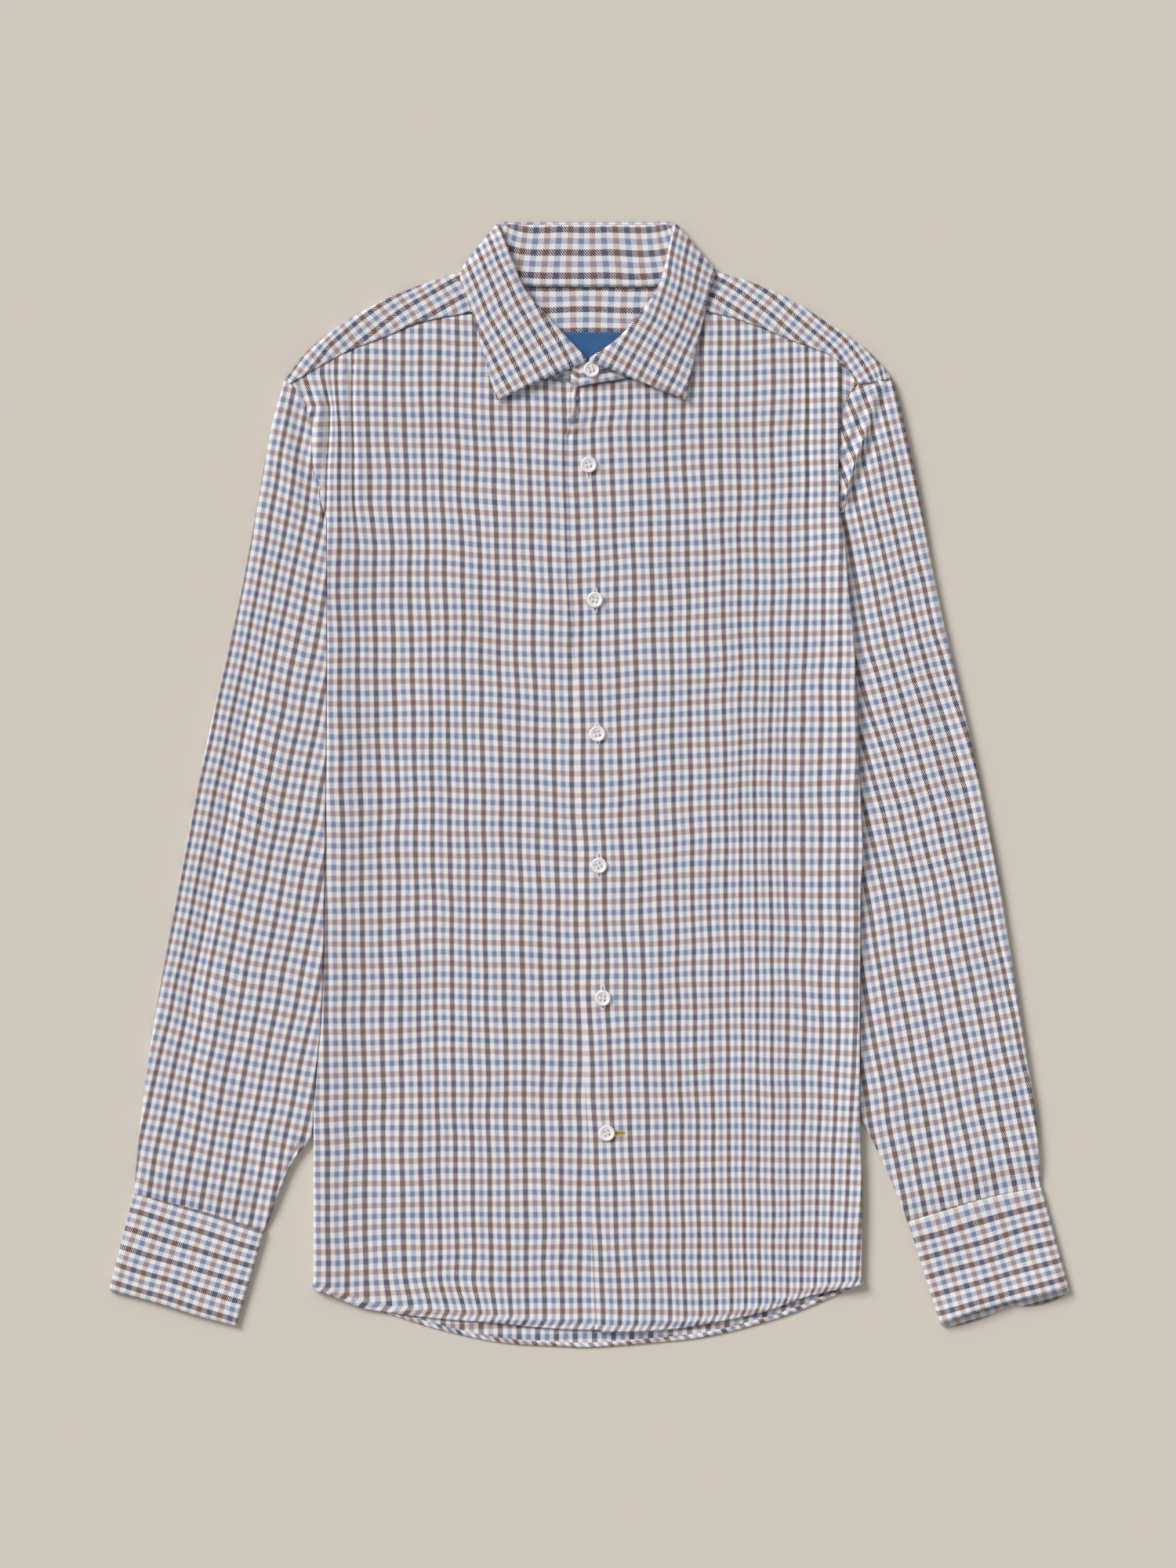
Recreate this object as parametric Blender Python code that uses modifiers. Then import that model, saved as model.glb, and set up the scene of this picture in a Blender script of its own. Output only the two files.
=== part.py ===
"""A long-sleeved flannel shirt with a spread collar, buttoned up and laid flat on its back.

+Y points to the collar, +X to the wearer's left, +Z up; the cloth rests on Z = 0. Left and right are the
wearer's. Every table is in millimetres, and the meshes are made in metres. Each cloth piece is an open
surface between its cut edges, given its thickness by Solidify.
"""

import math

import bmesh
import bpy
import numpy as np

MM = 0.001
FLANNEL = 1.0  # one layer of brushed flannel
FUSED = 1.4  # collar cloth: two layers and the interlining between them
CUFF_CLOTH = 1.5
LABEL_CLOTH = 1.0
SEAM_GAP = 0.3  # left between pieces that are sewn together
ARMHOLE_GAP = 0.8
SIDE_GAP = 0.7  # between a side of the body and the sleeve beside it
SLEEVE_LEAVES = 12.0  # how far above its free stretch a sleeve's inner fold leaves the side of the body

LINING_TOP = 2.3
UNDER_FRONT_TOP = 2.7  # the right front, which lies under the left one
OVER_FRONT_TOP = 4.1  # the left front, by its placket
LAPS_AT = -18  # x where the left front begins
PAST_LAP = 0.9  # how far the left front sinks past the edge of the right one
YOKE_LAYERS = 1.2  # what the yoke and its lining lift the fronts by
SIDE_HEIGHT = 6.4  # top of the folded sides of the body
SIDE_SPREAD = 24.0  # how far in from a side the cloth sinks to its flat height
EDGE_RADIUS = 3.0
NECK_HEIGHT = 4.2  # of the yoke's fold where it leaves the collar
SHOULDER_HEIGHT = 6.0  # of the yoke's fold at the shoulder's end
SLEEVE_HEIGHT = 6.0
INNER_SLEEVE_HEIGHT = 5.0  # beside the body
CUFF_HEIGHT = 4.8
BACK_WIDTH, FRONT_WIDTH = 380.0, 200.0  # about, for the places of the rows of points beside an edge
UNDERARM_Y = (176, 190)  # where the armhole's cut edge turns into the rounded side
YOKE_FOOT_Y = (238, 262)  # where the fronts climb onto the yoke's layers
NECK_RIBS, SHOULDER_RIBS = 5, 12  # rows of points across half a yoke, inside the neck and along the shoulder
BEHIND = (1, 0.83, 0.66, 0.5, 0.35, 0.2)  # where along each row the back part of the yoke has its points

# Cut edges as they lie, columns x, y. Shoulders run from the neck out along the fold over the shoulder.
RIGHT_SHOULDER = ((-85, 361.2), (-121, 349.2), (-142, 340.5), (-163, 329.5), (-184, 315), (-200, 301),
                  (-213.4, 283.6))
LEFT_SHOULDER = ((85, 360.4), (103, 356), (124.5, 348.2), (145, 338.2), (166, 325), (187, 311.3),
                 (203, 297), (213, 283.8))
# Front yoke seams, from the neckline out to the armhole.
RIGHT_YOKE_SEAM = ((-72, 333.3), (-99.5, 329), (-115.5, 326.2), (-127, 322.3), (-146, 314.6), (-164, 308),
                   (-181, 299.8), (-208.5, 284.2))
LEFT_YOKE_SEAM = ((71, 333.9), (95.5, 329.5), (121, 321.2), (145, 311.3), (166, 303.6), (179, 294.5),
                  (190, 282.1))
# Front necklines, from the shoulder down to the front edge.
RIGHT_NECKLINE = ((-72, 333.3), (-64, 314), (-48, 297), (-28.6, 286.5), (-12.6, 282), (2, 280.5), (22, 281.5))
LEFT_NECKLINE = ((71, 333.9), (63, 314), (48, 297), (27, 284.9), (10, 281.5), (-7.7, 278.9))
# Back neckline, across from the right shoulder to the left one.
BACK_NECKLINE = ((-85, 361.2), (-76, 357.5), (-55, 352.5), (0, 350.4), (55, 352.5), (76, 357.2), (85, 360.4))
# Armholes, from the shoulder down to the underarm.
RIGHT_ARMHOLE = ((-213.4, 283.6), (-208.5, 281), (-202, 272.2), (-197, 259.6), (-194.5, 249.7),
                 (-193.2, 222), (-190, 213), (-187, 194.7), (-183.7, 186))
LEFT_ARMHOLE = ((213, 283.8), (203, 283.1), (194, 282.4), (190, 281.4), (181.6, 272.2), (177, 253),
                (175, 220), (176, 190))
# Sides of the body, from the underarm down to the hem.
RIGHT_SIDE = ((-183.7, 186), (-183.7, 55), (-185.9, -132), (-190.9, -203.5), (-193.1, -240), (-193.1, -354.5))
LEFT_SIDE = ((176, 190), (178.8, 179.3), (182.1, 140.8), (185.4, 107.3), (189, 53.4), (190.3, 3),
             (192.5, -48), (190.9, -85), (190.3, -231), (192, -283), (191.5, -351.3))
# Front edges, from the neckline down to the hem: the right one is covered.
RIGHT_FRONT_EDGE = ((22, 281.5), (20, 210), (21, 130), (26, 0), (31, -140), (37, -383.6))
LEFT_FRONT_EDGE = ((-7.7, 278.9), (-7.9, 269.5), (-9.5, 261), (-15, 245), (-16.5, 234), (-16, 211),
                   (-13.8, 137.5), (-8.8, 55), (-6.1, -41), (-3.3, -137.5), (-1.1, -242), (4.4, -382.6))
# Hems, across from the right side to the left one.
RIGHT_FRONT_HEM = ((-193.1, -354.5), (-182.6, -358), (-168.3, -364), (-153.5, -369), (-113.3, -374.4),
                   (-65.5, -378.4), (-20.4, -382.4), (37, -383.6))
LEFT_FRONT_HEM = ((4.4, -382.6), (11, -384.6), (47.3, -383.4), (76.5, -380), (122, -370.7), (154, -359.5),
                  (191.5, -351.3))
BACK_HEM = ((-193.1, -354.5), (-168.3, -364), (-140.2, -372.4), (-105.6, -383), (-62.7, -392.2), (-20, -395),
            (5, -395.5), (60.5, -391), (89.7, -386.7), (122, -378.4), (147.4, -370), (191.5, -351.3))
BACK_YOKE_SEAM_Y = 262.0  # straight across the back
# The yoke's lining: its lower corners, and where its neck edge stops.
LINING_FOOT = ((-92, 268), (92, 268))
LINING_NECK_HALF, LINING_SHORT = 80, 1.2

# Sleeves lie beside the body. Outer folds run from the armhole down to the cuff seam, and inner folds follow
# the side of the body and then, columns x and y too, run free.
RIGHT_SLEEVE_OUTER = ((-213.6, 283.2), (-221.7, 254.7), (-228.8, 217.3), (-239.3, 159), (-247.5, 118.3),
                      (-269, 24.2), (-289.3, -79.2), (-306.9, -179.3), (-316, -250), (-319.2, -288.6))
RIGHT_SLEEVE_FREE = ((-195.2, -249), (-204, -260.2), (-212.3, -275), (-227.8, -314.8))
RIGHT_CUFF_SEAM = ((-319.2, -288.6), (-274.5, -300.2), (-227.8, -314.8))
RIGHT_CUFF_OUTER = ((-319.2, -289), (-336.6, -355.3))
RIGHT_CUFF_INNER = ((-227.8, -315.2), (-247.5, -380.1))
RIGHT_CUFF_HEM = ((-336.6, -355.3), (-308.6, -362.5), (-274.5, -373), (-247.5, -380.1))
LEFT_SLEEVE_OUTER = ((213.2, 283.4), (219.5, 261.8), (229.8, 214), (241.5, 150), (253, 96.3), (267.3, 34.7),
                     (277.8, -16), (288.8, -72.6), (304.7, -174), (313.8, -233), (317.6, -284.4))
LEFT_SLEEVE_FREE = ((195.6, -243), (207, -266.8), (218, -292), (224, -308.6))
LEFT_CUFF_SEAM = ((224, -308.6), (259.6, -297), (286.6, -289.9), (317.6, -284.4))
LEFT_CUFF_INNER = ((224, -309), (247, -379.5))
LEFT_CUFF_OUTER = ((317.6, -284.8), (337.2, -354.5))
LEFT_CUFF_HEM = ((247, -379.5), (270, -370.4), (293.7, -364), (320.7, -358), (337.2, -354.5))
LEFT_CUFF_UNDERLAP = 0.1  # share of the cuff's depth by which its lower wall shows past the upper one

# Creases: columns x and y of one end, x and y of the other, half width, and height (down if negative).
RIGHT_SLEEVE_CREASES = ((-238, 66, -275, -132, 7, -1.3), (-275, -132, -292, -240, 8, -1.1),
                        (-205, 262, -196, 205, 5, -1.4), (-222, 70, -240, -60, 12, 0.5))
LEFT_SLEEVE_CREASES = ((203, 275, 190, 238, 6, 1.6), (190, 238, 180, 195, 5, 1.5),
                       (191, 272, 183, 238, 4, 1.2), (197, 262, 187, 230, 5, -2.0),
                       (187, 225, 188, 60, 6, -1.6), (240, 90, 272, -50, 5, -1.4),
                       (272, -50, 296, -160, 6, -1.0), (306, -195, 314, -280, 5, -1.0))
FRONT_CREASES = ((-183, 275, -184, 195, 4, -1.0), (-168, 306, -164, 205, 4, 0.6),
                 (176, 298, 175, 205, 4, 1.0), (155, 308, 156, 215, 4, 0.6),
                 (-8, 277, -16, 245, 4, 0.9))

# The collar, a row for each rib of it from the right front end round the back to the left one. Columns: seam
# x, y, z; visible roll x, y; z of the stand's top; outer edge of the leaf x, y, z; lean of the leaf over the
# stand, in degrees (90 over it, -90 under it); radius of the roll; how far the leaf bows out.
COLLAR = (
    (1, 281.8, 5.0, -1.8, 298.6, 5.0, -64.4, 269.0, 7.4, 90, 1.8, 0),
    (-33, 287.6, 5.0, -19.2, 317.4, 5.4, -69.8, 287.0, 7.0, 90, 1.9, 0),
    (-48, 299, 5.2, -29.2, 328.4, 6.0, -73.6, 301.0, 6.9, 90, 2.0, 0),
    (-64, 316, 5.6, -44.6, 346.5, 6.6, -80.0, 323.5, 6.9, 90, 2.1, 0.5),
    (-75, 336, 6.4, -52.8, 365.8, 7.0, -86.4, 345.0, 6.9, 85, 2.1, 1.5),
    (-80, 350, 6.6, -58.0, 381.5, 6.8, -90.0, 354.5, 6.4, 70, 2.0, 4),
    (-79.5, 360.5, 5.6, -61.0, 390.5, 5.4, -87.2, 363.6, 4.0, 15, 1.7, 2.6),
    (-72, 358, 4.0, -57.5, 394.2, 4.7, -79.5, 364.5, 2.1, -60, 1.6, 1.5),
    (-50, 352, 3.6, -44.0, 394.4, 4.6, -50.0, 356.0, 1.3, -90, 1.65, 0),
    (0, 348.6, 3.6, 0.0, 394.4, 4.6, 0.0, 353.6, 1.3, -90, 1.65, 0),
    (50, 351.4, 3.6, 43.0, 394.4, 4.6, 50.0, 356.0, 1.3, -90, 1.65, 0),
    (72, 357, 4.0, 55.5, 394.0, 4.7, 78.5, 364.2, 2.1, -60, 1.6, 1.5),
    (79.5, 360, 5.6, 58.6, 389.6, 5.4, 86.4, 363.2, 4.0, 15, 1.7, 2.6),
    (80, 350, 6.6, 56.0, 378.0, 6.8, 88.4, 354.4, 6.4, 70, 2.0, 4),
    (75, 336, 6.4, 53.4, 364.0, 7.0, 85.0, 345.0, 6.9, 85, 2.1, 1.5),
    (64, 316, 5.8, 46.8, 345.4, 6.8, 80.4, 325.5, 7.0, 90, 2.1, 0.5),
    (48, 299, 6.4, 33.0, 326.6, 7.0, 76.6, 309.5, 7.0, 90, 2.0, 0),
    (32, 286.2, 6.9, 18.6, 311.0, 7.2, 72.4, 290.5, 7.2, 90, 2.0, 0),
    (2, 280.4, 7.0, 0.6, 298.6, 7.0, 68.4, 269.2, 7.6, 90, 2.1, 0),
)
# Ends of the stand past the leaf, columns as the seam and the top of the stand above, nearest end last.
STAND_RIGHT_END = ((12, 282.6, 5.0, 12, 296.6, 5.0), (20.5, 286, 5.0, 20.0, 294.6, 5.0))
STAND_LEFT_END = ((-7, 278.6, 7.0, -7.0, 296.0, 7.0), (-12.6, 281.8, 7.0, -12.2, 292.5, 7.0))
STAND_SHORT = 0.75  # how far the stand stops short of the leaf
TURN_SHORT = 6.0  # how much more, where the leaf turns from over the stand to behind it
TURN_RAISED = 0.9  # how far the leaf starts above the stand's line there

# Places of the buttons, columns name, x, y and the height of the cloth under it.
BUTTONS = (
    ("button_collar", 1.9, 290.4, 7.7),
    ("button_1", 0.0, 223.9, 4.1),
    ("button_2", 4.4, 129.2, 4.1),
    ("button_3", 6.1, 35.2, 4.1),
    ("button_4", 7.2, -57.2, 4.1),
    ("button_5", 9.9, -150.2, 4.1),
    ("button_6", 12.7, -244.8, 4.1),
)
# Half section of a button, columns radius and height, from the middle of its face round to its back.
BUTTON_SECTION = ((0, 1.5), (3.6, 1.5), (4.2, 2.1), (5.2, 2.0), (5.6, 1.3), (4.8, 0), (0, 0))
BUTTON_STEPS = 16
HOLE_RADIUS = 0.75
HOLE_PLACE = 1.35  # each hole's distance from the button's two middle lines
HOLE_SIDES = 6

# Neck label: half its width, top and bottom edges.
LABEL_HALF, LABEL_TOP_Y, LABEL_BOTTOM_Y = 23.0, 317.0, 299.5
LABEL_Z = LINING_TOP + SEAM_GAP + LABEL_CLOTH

FINISHES = {
    "flannel": ((0.48, 0.455, 0.478), 0.95),
    "label": ((0.10, 0.17, 0.30), 0.45),
    "button": ((0.76, 0.71, 0.71), 0.25),
}


def smooth(rows, steps):
    """A table's rows joined smoothly, with steps points from each row to the next."""
    rows = np.array(rows, float)
    ends = np.vstack([2 * rows[0] - rows[1], rows, 2 * rows[-1] - rows[-2]])
    t = np.linspace(0, 1, steps, endpoint=False)[:, None]
    made = [b + ((c - a) * t + (2 * a - 5 * b + 4 * c - d) * t**2 + (3 * b - a - 3 * c + d) * t**3) / 2
            for a, b, c, d in zip(ends, ends[1:], ends[2:], ends[3:])]
    return np.vstack([*made, rows[-1:]])


def curve(*stretches):
    """A smooth line through each table of points, joined end to end, read by its fraction of length."""
    dense = np.vstack([*(smooth(rows, 12)[:-1] for rows in stretches), stretches[-1][-1:]])
    along = np.append(0, np.cumsum(np.linalg.norm(np.diff(dense, axis=0), axis=1)))
    return lambda f: np.stack([np.interp(np.asarray(f) * along[-1], along, c) for c in dense.T], -1)


def stretch(line, start, end):
    """Part of a line, between two fractions of its length."""
    return lambda f: line(start + (end - start) * np.asarray(f, float))


def nearest(line, x, y):
    """Fraction of a line's length at which it passes nearest to a point."""
    f = np.linspace(0, 1, 2001)
    return f[np.argmin(np.linalg.norm(line(f) - (x, y), axis=1))]


def reaches(line, y):
    """Fraction of its length at which a line that runs down falls below a height on the plan."""
    f = np.linspace(0, 1, 4001)
    return f[np.argmax(line(f)[:, 1] < y)]


def moved(line, distance):
    """A line moved sideways, to its left as it runs."""
    f = np.linspace(0, 1, 121)
    points = line(f)
    along = np.gradient(points, axis=0)
    along /= np.linalg.norm(along, axis=1)[:, None]
    points = points + distance * np.stack([-along[:, 1], along[:, 0]], 1)
    return lambda g: np.stack([np.interp(g, f, c) for c in points.T], -1)


def panel(left, right, top, bottom):
    """Plan points of a panel between its four edges, at u across it and v down it.

    The left and right edges are kept as they are, and the other two are drawn to meet them.
    """
    def at(u, v):
        u, v = np.broadcast_arrays(np.asarray(u, float), np.asarray(v, float))
        across, down = u[..., None], v[..., None]
        upper = top(u) - (1 - across) * top(0.0) - across * top(1.0)
        lower = bottom(u) - (1 - across) * bottom(0.0) - across * bottom(1.0)
        return (1 - across) * left(v) + across * right(v) + (1 - down) * upper + down * lower
    return at


def fade(value, start, end):
    """0 at start, 1 at end, smooth between them."""
    t = np.clip((value - start) / (end - start), 0, 1)
    return t * t * (3 - 2 * t)


def crease(x, y, rows):
    """Height that creases add at a plan point: each is a soft ridge or trough that dies out at its ends."""
    rise = np.zeros_like(x)
    for x0, y0, x1, y1, half_width, height in rows:
        length = math.hypot(x1 - x0, y1 - y0)
        along = ((x - x0) * (x1 - x0) + (y - y0) * (y1 - y0)) / length**2
        off = ((x - x0) * (y1 - y0) - (y - y0) * (x1 - x0)) / length
        ends = fade(along, -0.15, 0.15) * (1 - fade(along, 0.85, 1.15))
        rise += height * ends * np.exp(-((off / half_width) ** 2))
    return rise


def side_distance(x, y):
    """How far a plan point is from the nearer side or armhole of the body."""
    right = curve(RIGHT_ARMHOLE, RIGHT_SIDE)(np.linspace(0, 1, 200))[::-1]
    left = curve(LEFT_ARMHOLE, LEFT_SIDE)(np.linspace(0, 1, 200))[::-1]
    return np.minimum(x - np.interp(y, right[:, 1], right[:, 0]),
                      np.interp(y, left[:, 1], left[:, 0]) - x)


def body_top(x, y, flat):
    """Height of the upper cloth of the body over a plan point, where flat is its height in the middle."""
    flat = flat + YOKE_LAYERS * fade(y, *YOKE_FOOT_Y)
    side = np.exp(-((np.maximum(side_distance(x, y), 0) / SIDE_SPREAD) ** 2))
    return flat + (SIDE_HEIGHT - flat) * side


def rounded_edge(distance):
    """Drop of a folded edge at a distance in from it: a quarter round."""
    inside = np.clip(EDGE_RADIUS - distance, 0, EDGE_RADIUS)
    return EDGE_RADIUS - np.sqrt(EDGE_RADIUS**2 - inside**2)


def material(slot):
    if slot in bpy.data.materials:
        return bpy.data.materials[slot]
    color, roughness = FINISHES[slot]
    made = bpy.data.materials.new(slot)
    made.use_nodes = True
    shader = made.node_tree.nodes["Principled BSDF"]
    shader.inputs["Base Color"].default_value = (*color, 1)
    shader.inputs["Roughness"].default_value = roughness
    return made


def place(name, mesh, slot):
    mesh.materials.append(material(slot))
    made = bpy.data.objects.new(name, mesh)
    shirt.objects.link(made)
    return made


def cloth(name, points, thickness, slot="flannel", closed=False, under=False, offset=-1, cut=None):
    """A cloth piece on a grid of points in millimetres, rows by columns, with its thickness added inside.

    closed joins the last column to the first, under turns the outer side down, and cut(row, column) is
    true for a face that is left out.
    """
    rows, columns = points.shape[:2]
    shape = bmesh.new()
    corners = [[shape.verts.new(p * MM) for p in row] for row in points]
    for r in range(rows - 1):
        for c in range(columns if closed else columns - 1):
            if cut and cut(r, c):
                continue
            n = (c + 1) % columns
            face = (corners[r][c], corners[r + 1][c], corners[r + 1][n], corners[r][n])
            shape.faces.new(face[::-1] if under else face)
    loose = [v for v in shape.verts if not v.link_faces]
    bmesh.ops.delete(shape, geom=loose, context="VERTS")
    mesh = bpy.data.meshes.new(name)
    shape.to_mesh(mesh)
    shape.free()
    mesh.shade_smooth()
    wall = place(name, mesh, slot).modifiers.new("Cloth", "SOLIDIFY")
    wall.thickness = thickness * MM
    wall.offset = offset
    wall.use_even_offset = False


def body_edge(wearers):
    """Armhole and side of one half of the body, from the shoulder to the hem, and the fraction at the underarm."""
    armhole, side = (RIGHT_ARMHOLE, RIGHT_SIDE) if wearers == "right" else (LEFT_ARMHOLE, LEFT_SIDE)
    line = curve(armhole, side)
    return line, nearest(line, *side[0])


def front(name, wearers, yoke_seam, neckline, edge, hem, flat):
    """One front, from its armhole and folded side to its front edge, hung from its yoke seam."""
    line, underarm = body_edge(wearers)
    first = nearest(line, *yoke_seam[-1])
    outer = stretch(line, first, 1)
    top = curve(yoke_seam[::-1], neckline)
    bottom = curve(hem if wearers == "right" else hem[::-1])
    at = panel(outer, curve(edge), top, bottom)
    underarm = (underarm - first) / (1 - first)
    edge_rows = np.array([SEAM_GAP, 0.9, 2, 3.4, 8]) / FRONT_WIDTH
    across = np.concatenate([edge_rows, np.linspace(0.085, 0.58, 11), np.linspace(0.68, 1, 4)])
    down = np.concatenate([np.linspace(0.0008, underarm, 9), np.linspace(underarm, 1, 12)[1:]])
    plan = at(across[None], down[:, None])
    x, y = plan[..., 0], plan[..., 1]
    z = body_top(x, y, flat(x)) + crease(x, y, FRONT_CREASES)
    z -= rounded_edge(across[None] * FRONT_WIDTH) * (1 - fade(y, *UNDERARM_Y))
    cloth(name, np.dstack([plan, z]), FLANNEL, under=wearers == "left")


def back():
    """The back panel, flat on its face, with its sides turned up to the side seams."""
    sides = []
    for wearers in ("right", "left"):
        line, underarm = body_edge(wearers)
        sides.append(stretch(line, reaches(line, BACK_YOKE_SEAM_Y), 1))
    top = curve((sides[0](0.0), sides[1](0.0)))
    at = panel(*sides, top, curve(BACK_HEM))
    edge_rows = np.array([SEAM_GAP, 1.2, 3.4]) / BACK_WIDTH
    across = np.concatenate([edge_rows, np.linspace(0.04, 0.96, 8), 1 - edge_rows[::-1]])
    down = np.concatenate([np.linspace(0, 0.12, 6), np.linspace(0.12, 1, 13)[1:]])
    plan = at(across[None], down[:, None])
    distance = np.minimum(across, 1 - across) * BACK_WIDTH
    z = rounded_edge(distance)[None] * (1 - fade(plan[..., 1], *UNDERARM_Y))
    cloth("back", np.dstack([plan, z]), FLANNEL, under=True)


def yoke(name, wearers, shoulder, seam):
    """Half the outer yoke: flat behind the back, folded over the shoulder, down to the front yoke seam.

    Its rows run from the centre back out to the armhole, and its columns from the back seam up to the
    neckline or the fold, then over the fold. The rows inside the neck stop at the neckline.
    """
    side = -1 if wearers == "right" else 1
    line, underarm = body_edge(wearers)
    line = moved(line, -SEAM_GAP * side)
    neck = [(x or side * SEAM_GAP / 2, y) for x, y in BACK_NECKLINE if x * side >= 0]
    top = curve(neck[::side], shoulder)
    neck_share = nearest(top, *shoulder[0])
    foot_y = BACK_YOKE_SEAM_Y + 2 * SEAM_GAP
    low = reaches(line, foot_y)
    foot = curve(((side * SEAM_GAP / 2, foot_y), (line(low)[0], foot_y)))
    centre = curve((top(0.0), foot(0.0)))
    behind = panel(centre, stretch(line, 0, low), top, foot)
    front_seam = moved(curve(seam), SEAM_GAP * side)
    over = panel(curve((shoulder[0], front_seam(0.0))), stretch(line, 0, nearest(line, *front_seam(1.0))),
                 curve(shoulder), front_seam)
    points = []
    for i in range(NECK_RIBS + SHOULDER_RIBS):
        f = max(0.0, (i - NECK_RIBS) / (SHOULDER_RIBS - 1))
        u = i / NECK_RIBS * neck_share if i < NECK_RIBS else neck_share + (1 - neck_share) * f
        edge = top(u)
        radius = (NECK_HEIGHT + (SHOULDER_HEIGHT - NECK_HEIGHT) * f) / 2
        way = behind(u, 0.15) - edge
        way /= np.linalg.norm(way)
        rib = [(*behind(u, v), 0) for v in BEHIND] + [(*(edge + way * radius), 0)]
        if i < NECK_RIBS:
            rib[-1] = (*edge, 0)
            rib += [(*edge, 0)] * 8
        else:
            rib += [(*(edge + way * radius * (1 - math.cos(turn))), radius + radius * math.sin(turn))
                    for turn in np.radians([-45, 0])]
            way = over(f, 1) - edge
            length = np.linalg.norm(way)
            way /= length
            rib += [(*(edge + way * radius * (1 - math.cos(turn))), radius + radius * math.sin(turn))
                    for turn in np.radians([45, 90])]
            for step in (0.25, 0.5, 0.75, 1):
                x, y = edge + way * (radius + (length - radius) * step)
                flat = body_top(x, y, flat_height(x))
                rib.append((x, y, 2 * radius + (flat - 2 * radius) * fade(step, 0, 1)))
        points.append(rib)
    cloth(name, np.array(points), FLANNEL, under=wearers == "left",
          cut=lambda r, c: r < NECK_RIBS and c >= len(BEHIND))


def left_flat(x):
    """Flat height of the left front, which sinks once it is past the edge of the right one."""
    return OVER_FRONT_TOP - PAST_LAP * fade(x, 35, 75)


def flat_height(x):
    """Flat height of the upper cloth over a plan point."""
    return np.where(x < LAPS_AT, UNDER_FRONT_TOP, left_flat(x))


def yoke_lining():
    """Inside of the yoke, from the back neckline down, lying on the outer yoke."""
    neck = curve([(x, y - LINING_SHORT) for x, y in BACK_NECKLINE if abs(x) < LINING_NECK_HALF])
    foot_right, foot_left = LINING_FOOT
    at = panel(curve((neck(0.0), foot_right)), curve((neck(1.0), foot_left)), neck, curve(LINING_FOOT))
    plan = at(np.linspace(0, 1, 9)[None], np.linspace(0, 1, 6)[:, None])
    cloth("yoke_lining", np.dstack([plan, np.full(plan.shape[:2], LINING_TOP)]), FLANNEL)


def neck_label():
    across, down = np.linspace(-LABEL_HALF, LABEL_HALF, 5), np.linspace(LABEL_TOP_Y, LABEL_BOTTOM_Y, 3)
    x, y = np.meshgrid(across, down)
    cloth("neck_label", np.dstack([x, y, np.full(x.shape, LABEL_Z)]), LABEL_CLOTH, slot="label")


def stand_top(rib):
    """Middle of the stand's top edge: the visible roll, less the roll's own radius and cloth."""
    seam, roll = rib[0:3], np.array([*rib[3:5], rib[5]])
    way = (roll - seam) / np.linalg.norm(roll - seam)
    return roll - way * (rib[10] + FUSED / 2), way


def collar():
    """The stand, one band with lapped ends, and the leaf, which rolls over its top edge and falls."""
    ribs = smooth(COLLAR, 2)
    band = list(STAND_RIGHT_END[::-1])
    for rib in ribs:
        top, way = stand_top(rib)
        turned = abs(math.cos(math.radians(rib[9])))
        band.append((*rib[:3], *(top - way * (STAND_SHORT + TURN_SHORT * turned))))
    band = np.array([*band, *STAND_LEFT_END])
    across = np.array((0, 0.33, 0.67, 1))[None, :, None]
    cloth("collar_stand", band[:, None, :3] * (1 - across) + band[:, None, 3:] * across, FUSED, offset=0)

    leaf = []
    for rib in ribs:
        top, way = stand_top(rib)
        lean, radius, bow = math.radians(rib[9]), rib[10], rib[11]
        outward = np.array([way[1], -way[0], 0])
        middle = np.array([0, 340, 0])
        outward *= 1 if outward @ (top - middle) > 0 else -1
        outward /= np.linalg.norm(outward)
        across = np.array([0, 0, 1]) * math.sin(lean) + outward * math.cos(lean)
        row = [top + radius * (across * (1 - math.cos(a)) + way * math.sin(a))
               for a in np.radians([0, 45, 90, 135, 180])]
        row[0] = row[0] + way * TURN_RAISED * abs(math.cos(lean))
        start, edge = row[-1], rib[6:9]
        for t in (0.2, 0.45, 0.72, 1):
            crown = 4 * t * (1 - t)
            row.append(start * (1 - t) + edge * t + outward * bow * crown + np.array([0, 0, 0.5]) * crown
                       * math.sin(lean))
        leaf.append(row)
    cloth("collar_leaf", np.array(leaf), FUSED, offset=0)


def inner_fold(wearers, free):
    """Inner fold of a sleeve: along the side of the body, a gap away from it, then free to the cuff."""
    line, underarm = body_edge(wearers)
    beside = stretch(line, underarm, nearest(line, free[0][0], free[0][1] + SLEEVE_LEAVES))
    apart = SIDE_GAP * (-1 if wearers == "right" else 1)
    rows = moved(beside, apart)(np.linspace(0, 1, 14))
    return curve([*rows, *free])


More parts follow.
